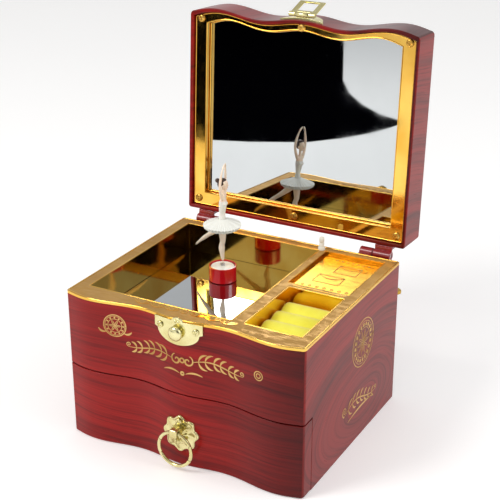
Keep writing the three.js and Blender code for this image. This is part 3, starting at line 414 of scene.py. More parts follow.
def smooth(made, angle=35, weighted=True):
    made.data.shade_smooth()
    made.data.set_sharp_from_angle(angle=radians(angle))
    if weighted:
        modify(made, "WEIGHTED_NORMAL", keep_sharp=True)
    return made


def paint(made, rule):
    """Gives each face the material index that rule(centre in mm, normal) returns."""
    for face in made.data.polygons:
        face.material_index = rule(face.center / MM, face.normal)
    return made


def prism(name, outline, low, high, look, axis="z"):
    """An outline drawn along an axis; along y it is in x and z, along x in y and z."""
    def at(p, h):
        return {"z": (p[0], p[1], h), "y": (p[0], h, p[1]), "x": (h, p[0], p[1])}[axis]
    n = len(outline)
    verts = [at(p, low) for p in outline] + [at(p, high) for p in outline]
    return piece(name, verts, [tuple(range(n)), tuple(range(n, 2 * n))] + bands(1, n), look)


def block(name, x0, x1, y0, y1, z0, z1, look):
    return prism(name, [(x0, y0), (x1, y0), (x1, y1), (x0, y1)], z0, z1, look)


def loft(name, sections, look):
    """Joins outlines of equal length, each at its own height, and closes both ends."""
    n = len(sections[0][0])
    verts = [(x, y, z) for outline, z in sections for x, y in outline]
    last = len(sections) - 1
    ends = [tuple(range(n)), tuple(range(last * n, (last + 1) * n))]
    return piece(name, verts, ends + bands(last, n), look)


def circle(cx, cy, radius, n=32):
    turn = 2 * pi / n
    return [(cx + radius * cos(turn * i), cy + radius * sin(turn * i)) for i in range(n)]


def lathe(name, profile, look, centre=(0, 0, 0), axis="z", n=48):
    """Turns a profile of (radius, height) about an axis; a zero radius closes an end."""
    verts, rings = [], []
    for r, h in profile:
        if r == 0:
            rings.append([len(verts)] * n)
            verts.append((0, 0, h))
        else:
            rings.append(list(range(len(verts), len(verts) + n)))
            verts += [(*p, h) for p in circle(0, 0, r, n)]
    faces = []
    for a, b in zip(rings, rings[1:] + rings[:1] if profile[0][0] else rings[1:]):
        for i in range(n):
            j = (i + 1) % n
            corners = list(dict.fromkeys((a[i], a[j], b[j], b[i])))
            if len(corners) > 2:
                faces.append(tuple(corners))
    def at(v):
        x, y, z = v
        return {"z": (x, y, z), "y": (x, z, y), "x": (z, x, y)}[axis]
    shift = Vector(centre)
    return piece(name, [Vector(at(v)) + shift for v in verts], faces, look)


def sweep(name, points, radius, look, closed=True, n=10):
    """A round bar along a line of points."""
    points = [Vector(p) for p in points]
    count = len(points)
    verts = []
    for i, p in enumerate(points):
        before = points[i - 1] if closed or i else p
        after = points[(i + 1) % count] if closed or i < count - 1 else p
        along = (after - before).normalized()
        up = Vector((0, 0, 1)) if abs(along.z) < 0.9 else Vector((0, 1, 0))
        side = along.cross(up).normalized()
        up = side.cross(along)
        verts += [p + side * u + up * v for u, v in circle(0, 0, radius, n)]
    last = (count - 1) * n
    if closed:
        ends = [(last + k, last + (k + 1) % n, (k + 1) % n, k) for k in range(n)]
    else:
        ends = [tuple(range(n)), tuple(range(last, last + n))]
    return piece(name, verts, bands(count - 1, n) + ends, look)


def merge(name, *parts):
    """One object out of several, keeping each part's materials."""
    looks = []
    work = bmesh.new()
    for part in parts:
        start = len(work.faces)
        work.from_mesh(part.data)
        work.faces.ensure_lookup_table()
        index = []
        for look in part.data.materials:
            if look not in looks:
                looks.append(look)
            index.append(looks.index(look))
        for face in work.faces[start:]:
            face.material_index = index[face.material_index] if index else 0
    mesh = bpy.data.meshes.new(name)
    work.to_mesh(mesh)
    work.free()
    for look in looks:
        mesh.materials.append(look)
    made = shown(name, mesh)
    for part in parts:
        bpy.data.objects.remove(part)
    return made


def placed(made, place):
    """Moves a mesh drawn in its own frame (in mm) into the row frame."""
    shift = place.copy()
    shift.translation = place.translation * MM
    made.data.transform(shift)
    return made


# ------------------------------------------------------------ serpentine outline
def blend(a, b, t):
    return a + (b - a) * (1 - cos(pi * t)) / 2


def wave(x):
    reach = abs(x)
    if reach < HOLLOW_X:
        return blend(WAVE_MID, WAVE_HOLLOW, reach / HOLLOW_X)
    if reach < SHOULDER_X:
        return blend(WAVE_HOLLOW, WAVE_SHOULDER, (reach - HOLLOW_X) / (SHOULDER_X - HOLLOW_X))
    return WAVE_SHOULDER * cos(pi / 2 * min(1, (reach - SHOULDER_X) / (SIDE_X - SHOULDER_X)))


def front(x, inset=0.0):
    """y of the serpentine front at x."""
    return FRONT_Y - wave(x) + inset


def plan(inset=0.0, back=BACK_Y, radius=2.4, back_radius=0.8, steps=96):
    """The box seen from above, anticlockwise, with rounded corners."""
    half = SIDE_X - inset
    reach = half - radius
    line = []
    for i in range(steps + 1):
        x = reach * (2 * i / steps - 1)
        line.append((x, front(x * SIDE_X / half, inset)))
    corner_y = line[0][1] + radius
    outline = list(line)
    for i in range(1, 7):
        angle = pi / 2 * i / 6
        outline.append((reach + radius * sin(angle), corner_y - radius * cos(angle)))
    r = back_radius
    for i in range(5):
        angle = pi / 2 * i / 4
        outline.append((half - r + r * cos(angle), back - r + r * sin(angle)))
    mirrored = [(-x, y) for x, y in reversed(outline[steps + 1:])]
    return outline + mirrored


def window(grow=0.0, steps=60):
    """The opening of the lid frame; its front edge follows the serpentine."""
    half = 64 + grow
    line = [(half * (2 * i / steps - 1), front(SIDE_X * (2 * i / steps - 1), 6.6 - grow))
            for i in range(steps + 1)]
    return line + [(half, 52 + grow), (-half, 52 + grow)]


# ------------------------------------------------------------ case and drawer front
case = prism("case_skin", plan(), 0, FLANGE_Z, WOOD)
carve(case,
      block("a", -80, 80, -70, FRONT_BACK_Y, -1, SPLIT_Z + 0.3, WOOD),
      block("b", -71.5, 71.5, FRONT_BACK_Y, 60.4, -1, 95, WOOD),
      prism("c", circle(KEY_X, KEY_Z, 3), 58, 66, WOOD, "y"))
soften(case, 0.6)
belong(case, "case", ["front_panel", "back_panel", "left_panel", "right_panel"])

drawer_front = prism("drawer_front_skin", plan(back=FRONT_BACK_Y - 0.3, back_radius=0.3), 0.6, SPLIT_Z - 0.4,
                     WOOD)
soften(drawer_front, 0.9)
belong(drawer_front, "drawer", ["drawer_front"])


# ------------------------------------------------------------ gilded tray
def tub(name, x0, x1, y0, y1, floor):
    t = 1.2
    return block(name, x0 - t, x1 + t, y0 - t, y1 + t, floor - t, FLANGE_Z + 0.3, GOLD)


def hollow(name, x0, x1, y0, y1, floor):
    return block(name, x0, x1, y0, y1, floor, RIM_Z + 5, GOLD)


tray = prism("tray", plan(), FLANGE_Z, RIM_Z, GOLD)
carve(tray, tub("a", *STAGE), tub("b", *WELL), tub("c", *PANEL), operation="UNION")
carve(tray, hollow("a", *STAGE), hollow("b", *WELL), hollow("c", *PANEL),
      prism("d", circle(DRUM_X, DRUM_Y, 2), 60, 75, GOLD),
      prism("e", circle(PIN_X, PIN_Y, 1.75), 85.8, 95, GOLD))
soften(tray, 0.4)
tray.data.materials.append(SATIN)
tray.data.materials.append(PANEL_GOLD)


def tray_look(c, n):
    if c.z > RIM_Z - 0.6 and (n.z > 0.3 or c.x ** 2 > 70 ** 2 or c.y < -58 or c.y > 62.5):
        return 1
    inside = PANEL[0] - 0.5 < c.x < PANEL[1] + 0.5 and PANEL[2] - 0.5 < c.y < PANEL[3] + 0.5
    return 2 if inside and c.z > 88 else 0


paint(tray, tray_look)


def rectangle(x0, x1, y0, y1, z, r=0.8, n=4):
    """A rounded rectangle of points at a height."""
    points = []
    for cx, cy, start in ((x1 - r, y1 - r, 0), (x0 + r, y1 - r, 90), (x0 + r, y0 + r, 180),
                          (x1 - r, y0 + r, 270)):
        for i in range(n + 1):
            angle = radians(start + 90 * i / n)
            points.append((cx + r * cos(angle), cy + r * sin(angle), z))
    return points


def rim_bead(name, box, low, high, z, radius, look):
    """A bead round a compartment, low and high outside its lower and upper sides."""
    x0, x1, y0, y1 = box[:4]
    return sweep(name, rectangle(x0 - low, x1 + high, y0 - low, y1 + high, z), radius, look)


beads = [
    sweep("b0", [(x, y, RIM_Z - 0.28) for x, y in plan(0.75)], 0.5, GOLD),
    rim_bead("b1", STAGE, 0.5, 0.5, RIM_Z - 0.3, 0.5, GOLD),
    rim_bead("b2", WELL, 0.5, 0.5, RIM_Z - 0.3, 0.5, GOLD),
    rim_bead("b3", PANEL, 0.45, 0.4, RIM_Z - 0.34, 0.45, PANEL_GOLD),
    sweep("b4", [(34.5, 3.4, RIM_Z - 0.55), (66, 3.4, RIM_Z - 0.55)], 0.8, GOLD, closed=False, n=14),
]
bead = smooth(merge("tray_beads", *beads), 50, False)
belong(tray, "case", ["gold_tray"])
belong(bead, "case")


# ------------------------------------------------------------ ribbons for prints and relief
def spiral(cx, cy, r0, r1, start, turns, n=26):
    points = []
    for i in range(n + 1):
        t = i / n
        angle = radians(start) + 2 * pi * turns * t
        r = r0 + (r1 - r0) * t
        points.append((cx + r * cos(angle), cy + r * sin(angle)))
    return points


def ring(cx, cy, radius, n=48):
    points = circle(cx, cy, radius, n)
    return points + points[:1]


def ribbons(name, lines, look, surface, height):
    """Flat bands of (points, widths) laid on a surface, as closed strips of the given height.
    surface(u, v, h) turns a place on it and a height above it into a point in mm."""
    verts, faces = [], []
    for points, widths in lines:
        count = len(points)
        start = len(verts)
        for i, (u, v) in enumerate(points):
            a = points[max(i - 1, 0)]
            b = points[min(i + 1, count - 1)]
            if points[0] == points[-1] and i in (0, count - 1):
                a, b = points[-2], points[1]
            du, dv = b[0] - a[0], b[1] - a[1]
            length = hypot(du, dv) or 1
            t = i / (count - 1)
            if isinstance(widths, (int, float)):
                w = widths
            else:
                w = widths[0] + (widths[1] - widths[0]) * sin(pi * t)
            nu, nv = -dv / length * w / 2, du / length * w / 2
            for s, h in ((1, 0), (1, 1), (-1, 1), (-1, 0)):
                verts.append(surface(u + nu * s, v + nv * s, height * h))
        last = start + 4 * (count - 1)
        faces += bands(count - 1, 4, start) + [tuple(range(start, start + 4)), tuple(range(last, last + 4))]
    return smooth(piece(name, verts, faces, look), 40, False)


def on_front(u, v, h):
    return (u, front(u) - 0.01 - h, v)


def on_right(u, v, h):
    return (SIDE_X + 0.01 + h, u, v)


def on_rim(u, v, h):
    return (u, v, RIM_Z - 0.02 + h)


def on_panel(u, v, h):
    return (u, v, PANEL[4] - 0.02 + h)


def rosette(cx, cy, radius, petals):
    """A round seal: two rings, a ring of dots and a flower."""
    lines = [(ring(cx, cy, radius), 0.55), (ring(cx, cy, radius * 0.88), 0.3),
             (ring(cx, cy, radius * 0.62), 0.35)]
    for i in range(petals * 2):
        angle = pi * i / petals
        x, y = cx + radius * 0.75 * cos(angle), cy + radius * 0.75 * sin(angle)
        lines.append((ring(x, y, radius * 0.045, 10), radius * 0.07))
    for i in range(petals):
        angle = 2 * pi * i / petals
        tip = radius * 0.55
        side = angle + pi / petals * 0.8
        for s in (angle - (side - angle), side):
            middle = (cx + tip * 0.6 * cos(s), cy + tip * 0.6 * sin(s))
            end = (cx + tip * cos(angle), cy + tip * sin(angle))
            lines.append((bezier((cx, cy), middle, end), (0.12, 0.4)))
    return lines


def bezier(a, b, c, n=10):
    return [tuple((1 - t) ** 2 * a[k] + 2 * t * (1 - t) * b[k] + t * t * c[k] for k in (0, 1))
            for t in (i / n for i in range(n + 1))]


def leaf_spray(cx, cy, reach, rise, leaves, sign):
    """A stem with pairs of leaves and a curl at its end."""
    stem = [(cx + sign * reach * t, cy + rise * sin(pi * t * 1.6)) for t in (i / 24 for i in range(25))]
    lines = [(stem, (0.25, 0.8))]
    for i in range(leaves):
        t = (i + 1) / (leaves + 1)
        x, y = stem[int(t * 24)]
        for up in (-1, 1):
            size = min(reach * 0.15, 4.6) * (1.1 - 0.5 * t)
            end = (x + sign * size * 1.1, y + up * size)
            lines.append((bezier((x, y), (x + sign * size * 0.2, y + up * size), end), (0.2, 1.25)))
    x, y = stem[-1]
    lines.append((spiral(x, y + 1.5, 1.5, 0.25, -90, sign * 1.4), (0.3, 0.5)))
    return lines


front_print = rosette(-42, 77, 6.6, 6)
for s in (-1, 1):
    front_print += leaf_spray(2 + s * 6, 67, 30, 1.6, 6, s)
    front_print += [(spiral(2 + s * 3.6, 67, 0.4, 3.4, 90 - 90 * s, s * 1.2), (0.5, 1.0))]
    front_print += [(bezier((2 + s * 2, 59), (2 + s * 7, 61.5), (2 + s * 12, 59)), (0.3, 1.1))]
    front_print += [(bezier((-42 + s * 5.4, 72.8), (-42 + s * 8.4, 71.8), (-42 + s * 10, 74.4)), (0.4, 1.2))]
front_print += [(ring(2, 67, 1.3, 16), 0.9), (ring(2, 59, 0.9, 14), 1.0), (ring(49, 70, 2.6, 24), 0.5),
                (ring(49, 70, 1.3, 16), 0.5)]
print_front = ribbons("print_front", front_print, PRINT, on_front, 0.05)
belong(print_front, "case")

side_print = rosette(12, 61, 14.5, 10)
side_print += leaf_spray(-11, 24, 44, 3.4, 7, 1) + [(spiral(-11, 27, 3.2, 0.4, -90, -1.5), (0.9, 0.5))]
side_print += [(bezier((-6, 17.5), (10, 21), (30, 18.5)), (0.3, 1.2))]
print_side = ribbons("print_side", side_print, PRINT, on_right, 0.05)
belong(print_side, "case")

relief = []
for s in (-1, 1):
    for k in range(3):
        cx = s * (5.5 + 9.5 * k) - 2
        relief.append((spiral(cx, -55.3, 1.9, 0.3, 90, s * 1.35), (0.35, 0.7)))
        relief.append((bezier((cx, -57.2), (cx + s * 4.5, -58.4), (cx + s * 8, -54.4)), (0.3, 0.8)))
        relief.append((bezier((cx + s * 3, -57.4), (cx + s * 5, -54), (cx + s * 6.4, -54.6)), (0.2, 0.7)))
relief.append((ring(-2, -55.6, 1.6, 20), 0.7))
rim_relief = ribbons("rim_relief", relief, GOLD, on_rim, 0.22)
belong(rim_relief, "case")

frame_lines = []
for cx, cy, w, h in ((52, 40, 7, 5.2), (47, 24, 8, 5.2)):
    corners = [(cx - w, cy - h), (cx + w, cy - h), (cx + w, cy + h), (cx - w, cy + h)]
    for a, b in zip(corners, corners[1:] + corners[:1]):
        frame_lines.append(([a, ((a[0] + b[0]) / 2, (a[1] + b[1]) / 2), b], 0.45))
    frame_lines.append((bezier((cx - w, cy + h), (cx, cy - h * 0.6), (cx + w, cy + h)), (0.3, 0.5)))
for i in range(7):
    frame_lines.append((ring(36 + 4.6 * i, 12, 0.9, 12), 0.4))
    frame_lines.append((ring(40 + 3.4 * i, 51.5, 0.6, 12), 0.35))
panel_relief = ribbons("panel_relief", frame_lines, SATIN, on_panel, 0.16)
belong(panel_relief, "case")


# ------------------------------------------------------------ screws with a cross recess
def cross_screw(name, radius, shank, length, look):
    """Drawn with its head on +z of its own frame."""
    h = radius * 0.42
    head = lathe(name, [(0, -length), (shank, -length), (shank, 0), (radius, 0), (radius, h * 0.35),
                        (radius * 0.9, h * 0.7), (radius * 0.6, h * 0.93), (0, h)], look, n=40)
    w, r = radius * 0.14, radius * 0.6
    carve(head, block("a", -w, w, -r, r, h * 0.35, h + 1, look),
          block("b", -r, r, -w, w, h * 0.35, h + 1, look))
    return soften(head, radius * 0.04, 2, 40)


def set_screw(name, at, turn, radius, shank, length, look, body, node, place=HERE, spin=0.0):
    made = cross_screw(name, radius, shank, length, look)
    pose = place @ Matrix.Translation(at) @ turn @ rotation(spin, "Z")
    placed(made, pose)
    return belong(made, body, [node])


FORWARD = rotation(90, "X")       # +z of the screw points to -y
BACKWARD = rotation(-90, "X")
DOWNWARD = rotation(180, "X")
for side, name in ((-1, "left"), (1, "right")):
    tilt = Matrix.Rotation(side * atan2(wave(10) - wave(12.4), 2.4), 4, "Z")
    set_screw(f"latch_cross_{name}", (side * LATCH_SCREW_X, front(LATCH_SCREW_X) - 1.35, LATCH_SCREW_Z),
              tilt @ FORWARD, 1.95, 0.9, 5.6, PALE_BRASS,
              "case", f"latch_screw_{name}", spin=20 * side)
set_screw("pull_cross", (0, front(0) - 1.9, 29.2), FORWARD, 1.9, 0.9, 5, PALE_BRASS, "drawer", "pull_screw",
          spin=30)
for i, (x, z) in enumerate(((36, 80), (67, 51.5))):
    set_screw(f"back_cross_{i + 1}", (x, BACK_Y + 0.05, z), BACKWARD, 2.4, 1, 5, STEEL, "case",
              f"movement_screw_{i + 1}", spin=15 + 40 * i)
lid_screws = [(-68.4, -59.2), (0, -60.5), (68.4, -59.2), (-68.4, 56.4), (0, 56.4), (68.4, 56.4)]
for i, (x, y) in enumerate(lid_screws):
    set_screw(f"lid_cross_{i + 1}", (x, y, LIP_Z - 0.05), DOWNWARD, 2.4, 1, 3.6, GOLD_SCREW, "lid",
              f"lid_screw_{i + 1}", LID, spin=17 + 31 * i)


# ------------------------------------------------------------ latch
def bent(name, outline, thickness, look, lift=0.1, reach=18):
    """A sheet that follows the serpentine front, cut to an outline in x and z."""
    steps = 60
    xs = [reach * (2 * i / steps - 1) for i in range(steps + 1)]
    band = [(x, front(x) - lift) for x in xs] + [(x, front(x) - lift - thickness) for x in reversed(xs)]
    sheet = prism(name, band, 0, 120, look)
    return carve(sheet, prism("a", outline, -80, -50, look, "y"), operation="INTERSECT")


def half_round(half, arc, top, shoulder, arc_top, bottom, n=28):
    points = [(half, top), (half, shoulder), (arc, arc_top)]
    for i in range(1, n):
        angle = -pi * i / n
        points.append((arc * cos(angle), arc_top + (arc_top - bottom) * sin(angle)))
    return points + [(-arc, arc_top), (-half, shoulder), (-half, top)]


tab = [(-3.4, 90.5), (-3.0, 91.6), (-1.7, 92.0), (-0.9, 92.5), (0.9, 92.5), (1.7, 92.0), (3.0, 91.6),
       (3.4, 90.5)]
plate = bent("latch_plate_skin", half_round(15, 13, 90.5, 84.6, 83.8, 76.4) + tab, 1.0, PALE_BRASS)
soften(plate, 0.28)
belong(plate, "case", ["latch_plate"])

knob = lathe("a", [(0, 0), (3.1, 0), (3.1, -0.8), (3.9, -1.0), (4.25, -1.6), (4.1, -2.4), (3.5, -3.1),
                   (2.4, -3.6),
                   (1.2, -3.8), (0, -3.84)], PALE_BRASS, (0, front(0) - 1.3, LATCH_Z), "y")
prongs = [lathe(f"p{s}", [(0, -0.95), (0.5, -0.8), (0.85, -0.3), (0.88, 0.2), (0.65, 0.7), (0, 0.95)],
                PALE_BRASS,
                (s, front(0) - 1.05, 90.4), n=20) for s in (-1, 1)]
knob = smooth(merge("latch_knob_skin", knob, *prongs), 50, False)
belong(knob, "case", ["latch_knob"])


# ------------------------------------------------------------ drawer pull
def rose(name):
    """A lobed plate in relief on the serpentine front: petals, a beaded rim and a domed heart."""
    spokes, rings = 128, 26
    spread = [(2 * pi * i / spokes, cos(16 * pi * i / spokes)) for i in range(spokes)]
    verts = []
    for j in range(rings + 1):
        t = j / rings
        for angle, lobe in spread:
            r = (10.7 + 0.85 * lobe) * t
            petal = 0.5 + 0.5 * lobe
            height = 0.95 + 0.55 * sin(pi * min(1, t * 1.05)) * petal
            height += 0.9 * exp(-(r / 3.6) ** 2) - 0.35 * exp(-((r - 4.6) / 0.7) ** 2)
            height += 0.3 * exp(-((t - 0.93) / 0.05) ** 2) - 0.75 * max(0, (t - 0.965) / 0.035) ** 2
            x, z = r * sin(angle), r * cos(angle)
            verts.append((x, front(x) - 0.1 - height, PULL_Z + z))
    back = len(verts)
    verts += [(x, front(x) - 0.1, z) for x, _, z in verts[-spokes:]]
    return piece(name, verts, bands(rings + 1, spokes) + [tuple(range(back, back + spokes))], PALE_BRASS)


flower = smooth(rose("a"), 50, False)
boss = block("b", -2.4, 2.4, RING_Y - 2.4, front(0) - 1, RING_TOP_Z - 2.6, RING_TOP_Z + 2.6, PALE_BRASS)
soften(boss, 1.1, 4)
carve(boss, prism("c", circle(RING_Y, RING_TOP_Z, 1.55, 32), -5, 5, PALE_BRASS, "x"))
soften(boss, 0.2, 2)
petals = [lathe(f"d{k}", [(0, -1.5), (0.9, -1.1), (1.5, -0.2), (1.3, 0.6), (0.7, 1.1), (0, 1.25)], PALE_BRASS,
                (3.4 * cos(radians(k)), front(0) - 2.0,
                 PULL_Z - 1.2 + 3.2 * sin(radians(k))),
                "y", 18) for k in (200, 235, 270, 305, 340)]
pull = merge("pull_flower", flower, boss, *petals)
belong(pull, "drawer", ["pull_plate"])

hoop = [(RING_R * cos(a), RING_Y, RING_TOP_Z - RING_R + RING_R * sin(a))
        for a in (2 * pi * i / 96 for i in range(96))]
hoop = smooth(sweep("pull_hoop", hoop, RING_WIRE, PALE_BRASS, n=20), 60, False)
belong(hoop, "pull_ring", ["pull_ring"])


# ------------------------------------------------------------ hinges
def hinge_half(name, side, x0, x1, low, high, node, body, place=HERE):
    """Leaf, arm and barrel, drawn closed."""
    low_arm = min(max(low, HINGE_Z - 1.4), HINGE_Z + 0.4)
    a, b = sorted((side * x0, side * x1))
    barrel = lathe(name, [(1.3, a), (2.7, a), (3, a + 0.3), (3, b - 0.3), (2.7, b), (1.3, b)], HINGE_RED,
                   (0, HINGE_Y, HINGE_Z), "x", 40)
    leaf = block("a", a, b, BACK_Y + 0.2, BACK_Y + 2.2, low, high, HINGE_RED)
    soften(leaf, 0.4)
    arm = block("b", a + 0.2, b - 0.2, BACK_Y + 1.2, HINGE_Y - 1.8, low_arm, low_arm + 1.6, HINGE_RED)
    soften(arm, 0.25)
    made = merge(name, smooth(barrel, 40, False), leaf, arm)
    return belong(placed(made, place), body, [node])


for side, name in ((-1, "left"), (1, "right")):
    hinge_half(f"hinge_case_{name}", side, 47.4, 55.6, 74, HINGE_Z + 0.2, f"hinge_leaf_{name}", "case")
    hinge_half(f"hinge_lid_{name}", side, 56, 67.2, HINGE_Z + 0.6, 106, f"hinge_arm_{name}", "lid", LID)

# ------------------------------------------------------------ lid, drawn closed
def rounded(inset, z, r, start, end, sign_in, sign_up, n=5):
    """(inset, z) points round a quarter circle whose centre is at inset, z."""
    turn = [radians(start + (end - start) * i / n) for i in range(n + 1)]
    return [(inset + sign_in * r * cos(a), z + sign_up * r * sin(a)) for a in turn]


WALL, EDGE = 2.2, 2.4
profile = [(WALL, LID_TOP_Z - 2.6)] + rounded(WALL - 0.5, LID_RIM_Z + 0.5, 0.5, 0, 90, 1, -1)
profile += rounded(0.6, LID_RIM_Z + 0.6, 0.6, 90, 0, -1, -1)
profile += rounded(EDGE, LID_TOP_Z - EDGE, EDGE, 0, 90, -1, 1, 7)
lid = loft("lid_skin", [(plan(i, BACK_Y - i, max(2.6 - i, 0.6), max(1.6 - i, 0.4)), z) for i, z in profile],
           WOOD)
smooth(lid, 45)
placed(lid, LID)
belong(lid, "lid", ["lid_shell"])

gold_frame = prism("a", plan(2.5, BACK_Y - 2.5, radius=1.0), LIP_Z, LIP_Z + 0.9, GOLD)
carve(gold_frame, prism("b", window(1.8), 93.9, 97.6, GOLD), operation="UNION")
carve(gold_frame, prism("c", window(), 90, 99, GOLD))
soften(gold_frame, 0.3)
lips = [sweep("d", [(x, y, LIP_Z + 0.02) for x, y in window(0.35)], 0.42, GOLD, n=12),
        sweep("e", [(x, y, 97.3) for x, y in window(-0.45)], 0.45, GOLD, n=10),
        sweep("f", [(x, y, LIP_Z + 0.05) for x, y in plan(3.0, BACK_Y - 3.0, radius=1.0)], 0.3, GOLD, n=10)]
gold_frame = merge("lid_frame_skin", gold_frame, smooth(merge("g", *lips), 50, False))
placed(gold_frame, LID)
belong(gold_frame, "lid", ["lid_frame"])

# ------------------------------------------------------------ hasp
shield = [(14, 93)] + [(13 * cos(pi * i / 28), 93 + 11.5 * sin(pi * i / 28))
                       for i in range(1, 28)] + [(-14, 93)]
hasp_plate = bent("a", shield, 1.0, PALE_BRASS)
soften(hasp_plate, 0.25)
middle = lathe("b", [(1, -4), (1.35, -4), (1.5, -3.8), (1.5, 3.8), (1.35, 4), (1, 4)], PALE_BRASS,
               (0, HASP_Y, HASP_Z), "x", 32)
web = block("c", -4, 4, HASP_Y + 1, front(0) - 0.6, HASP_Z + 0.1, HASP_Z + 1.2, PALE_BRASS)
hasp_plate = merge("hasp_plate_skin", hasp_plate, smooth(middle, 40, False), soften(web, 0.15, 2))
placed(hasp_plate, LID)
belong(hasp_plate, "lid", ["hasp_plate"])

loop = block("a", -8.4, 8.4, -0.5, 0.5, -15.5, -0.6, PALE_BRASS)
carve(loop, block("b", -5, 5, -2, 2, -14, -4.2, PALE_BRASS),
      block("c", -4.4, 4.4, -2, 2, -2.2, 2, PALE_BRASS))
soften(loop, 0.32)
ends = [lathe(f"e{s}", [(1, -2), (1.3, -2), (1.5, -1.8), (1.5, 1.8), (1.3, 2), (1, 2)], PALE_BRASS,
              (s * 6.4, 0, 0), "x", 32) for s in (-1, 1)]
loop = merge("hasp_loop", loop, smooth(merge("f", *ends), 40, False))
placed(loop, HASP)
belong(loop, "hasp", ["hasp"])

# ------------------------------------------------------------ drum, disc, stop pin, key
drum = lathe("drum_skin", [(1.8, 72.9), (8.2, 72.9), (8.5, 73.2), (8.5, 82.1), (8.3, 82.35), (7.9, 82.4),
                           (7.6, 82.2),
                           (7.5, 80.6), (6.9, 80.6), (6.9, 74.5), (1.8, 74.5)], DRUM_RED,
             (DRUM_X, DRUM_Y, 0), n=72)
belong(smooth(drum, 40), "turntable", ["drum"])
disc = lathe("drum_cap", [(0, 80.7), (7.2, 80.7), (7.2, 81.5), (7.0, 81.7), (2.6, 81.7), (2.3, 81.95),
                          (1.9, 82.0),
                          (0, 82.0)], WHITE, (DRUM_X, DRUM_Y, 0), n=56)
belong(smooth(disc, 40), "turntable", ["drum_disc"])
pin = lathe("a", [(0, 77.3), (1.1, 77.3), (1.1, 92.4), (1.6, 92.5), (1.6, 94.8), (1.45, 95.1), (1.25, 95.2),
                  (1.25, 95.7),
                  (1.45, 95.8), (1.6, 96.1), (1.6, 98.2), (1.4, 98.7), (1, 98.98), (0, 99)], WHITE,
            (PIN_X, PIN_Y, 0), n=32)
foot = soften(block("b", 26.5, 29.4, 53.3, 58.5, 77.4, 78.8, WHITE), 0.2, 2)
pin = merge("stop_pin_skin", smooth(pin, 40, False), foot)
belong(pin, "stop_pin", ["stop_pin"])
bush = lathe("stop_pin_collar", [(1.75, 91), (2.2, 91), (2.2, 92.2), (2.1, 92.6), (1.9, 92.8), (1.75, 92.8)],
             WHITE,
             (PIN_X, PIN_Y, 0), n=40)
belong(smooth(bush, 40), "case", ["stop_pin_bush"])

wing = [(11 * cos(a), KEY_Y + 5.2 * sin(a)) for a in (2 * pi * i / 64 for i in range(64))]
key = prism("a", wing, -1.1, 1.1, BRASS)
carve(key, *[prism(f"b{s}", circle(5.6 * s, KEY_Y, 2, 24), -5, 5, BRASS) for s in (-1, 1)])
soften(key, 0.5)
stem = lathe("c", [(1.9, 63.8), (2.4, 63.8), (2.6, 64), (2.6, 73.6), (2.2, 74.4), (1.2, 74.8), (0, 74.8),
                   (0, 68.5),
                   (1.9, 68.5)], BRASS, (0, 0, 0), "y", 32)
key = merge("winding_key_skin", key, smooth(stem, 40, False))
key.data.transform(Matrix.Translation(Vector((KEY_X, 0, KEY_Z)) * MM))
belong(key, "winding", ["winding_key"])


# ------------------------------------------------------------ ring pad
def ring_pad():
    """Four soft rolls, swollen by a short cloth simulation, then finished with a fine nap."""
    x0, x1, y0, y1, base, crown = WELL[0] + 0.9, WELL[1] - 0.9, WELL[2] + 0.9, WELL[3] - 0.9, 73.6, 84.4
    rolls, across = 4, 14
    depth = (y1 - y0) / rolls
    outline = [(y0, base)]
    for k in range(rolls):
        for i in range(across + 1):
            t = i / across
            if k and not i:
                continue
            rise = sin(pi * t) ** 0.55 if 0 < t < 1 else 0
            outline.append((y0 + depth * (k + t), crown - 3.4 + 3.2 * rise))
    outline.append((y1, base))
    pad = remesh(prism("ring_pad_skin", outline, x0, x1, FOAM, "x"), 0.9)
    rest = [v.co.copy() for v in pad.data.vertices]
    cloth = pad.modifiers.new("cloth", "CLOTH")
    cloth.settings.quality = 5
    cloth.settings.use_pressure = True
    cloth.settings.uniform_pressure_force = 3.0
    cloth.settings.effector_weights.gravity = 0
    cloth.point_cache.frame_end = 14
    for step in range(1, 15):
        bpy.context.scene.frame_set(step)
    settle(pad)
    bpy.context.scene.frame_set(1)
    cap = 0.7 * MM
    for vertex, start in zip(pad.data.vertices, rest):
        move = vertex.co - start
        if move.length > cap:
            move *= cap / move.length
        vertex.co = start + move
    for vertex in pad.data.vertices:
        p = vertex.co / MM
        p.x = min(max(p.x, WELL[0] + 0.35), WELL[1] - 0.35)
        p.y = min(max(p.y, WELL[2] + 0.35), WELL[3] - 0.35)
        p.z = max(p.z, WELL[4] + 0.2)
        vertex.co = p * MM
    smooth(relax(pad, 4), 180, False)
    belong(pad, "case", ["ring_pad"])


ring_pad()


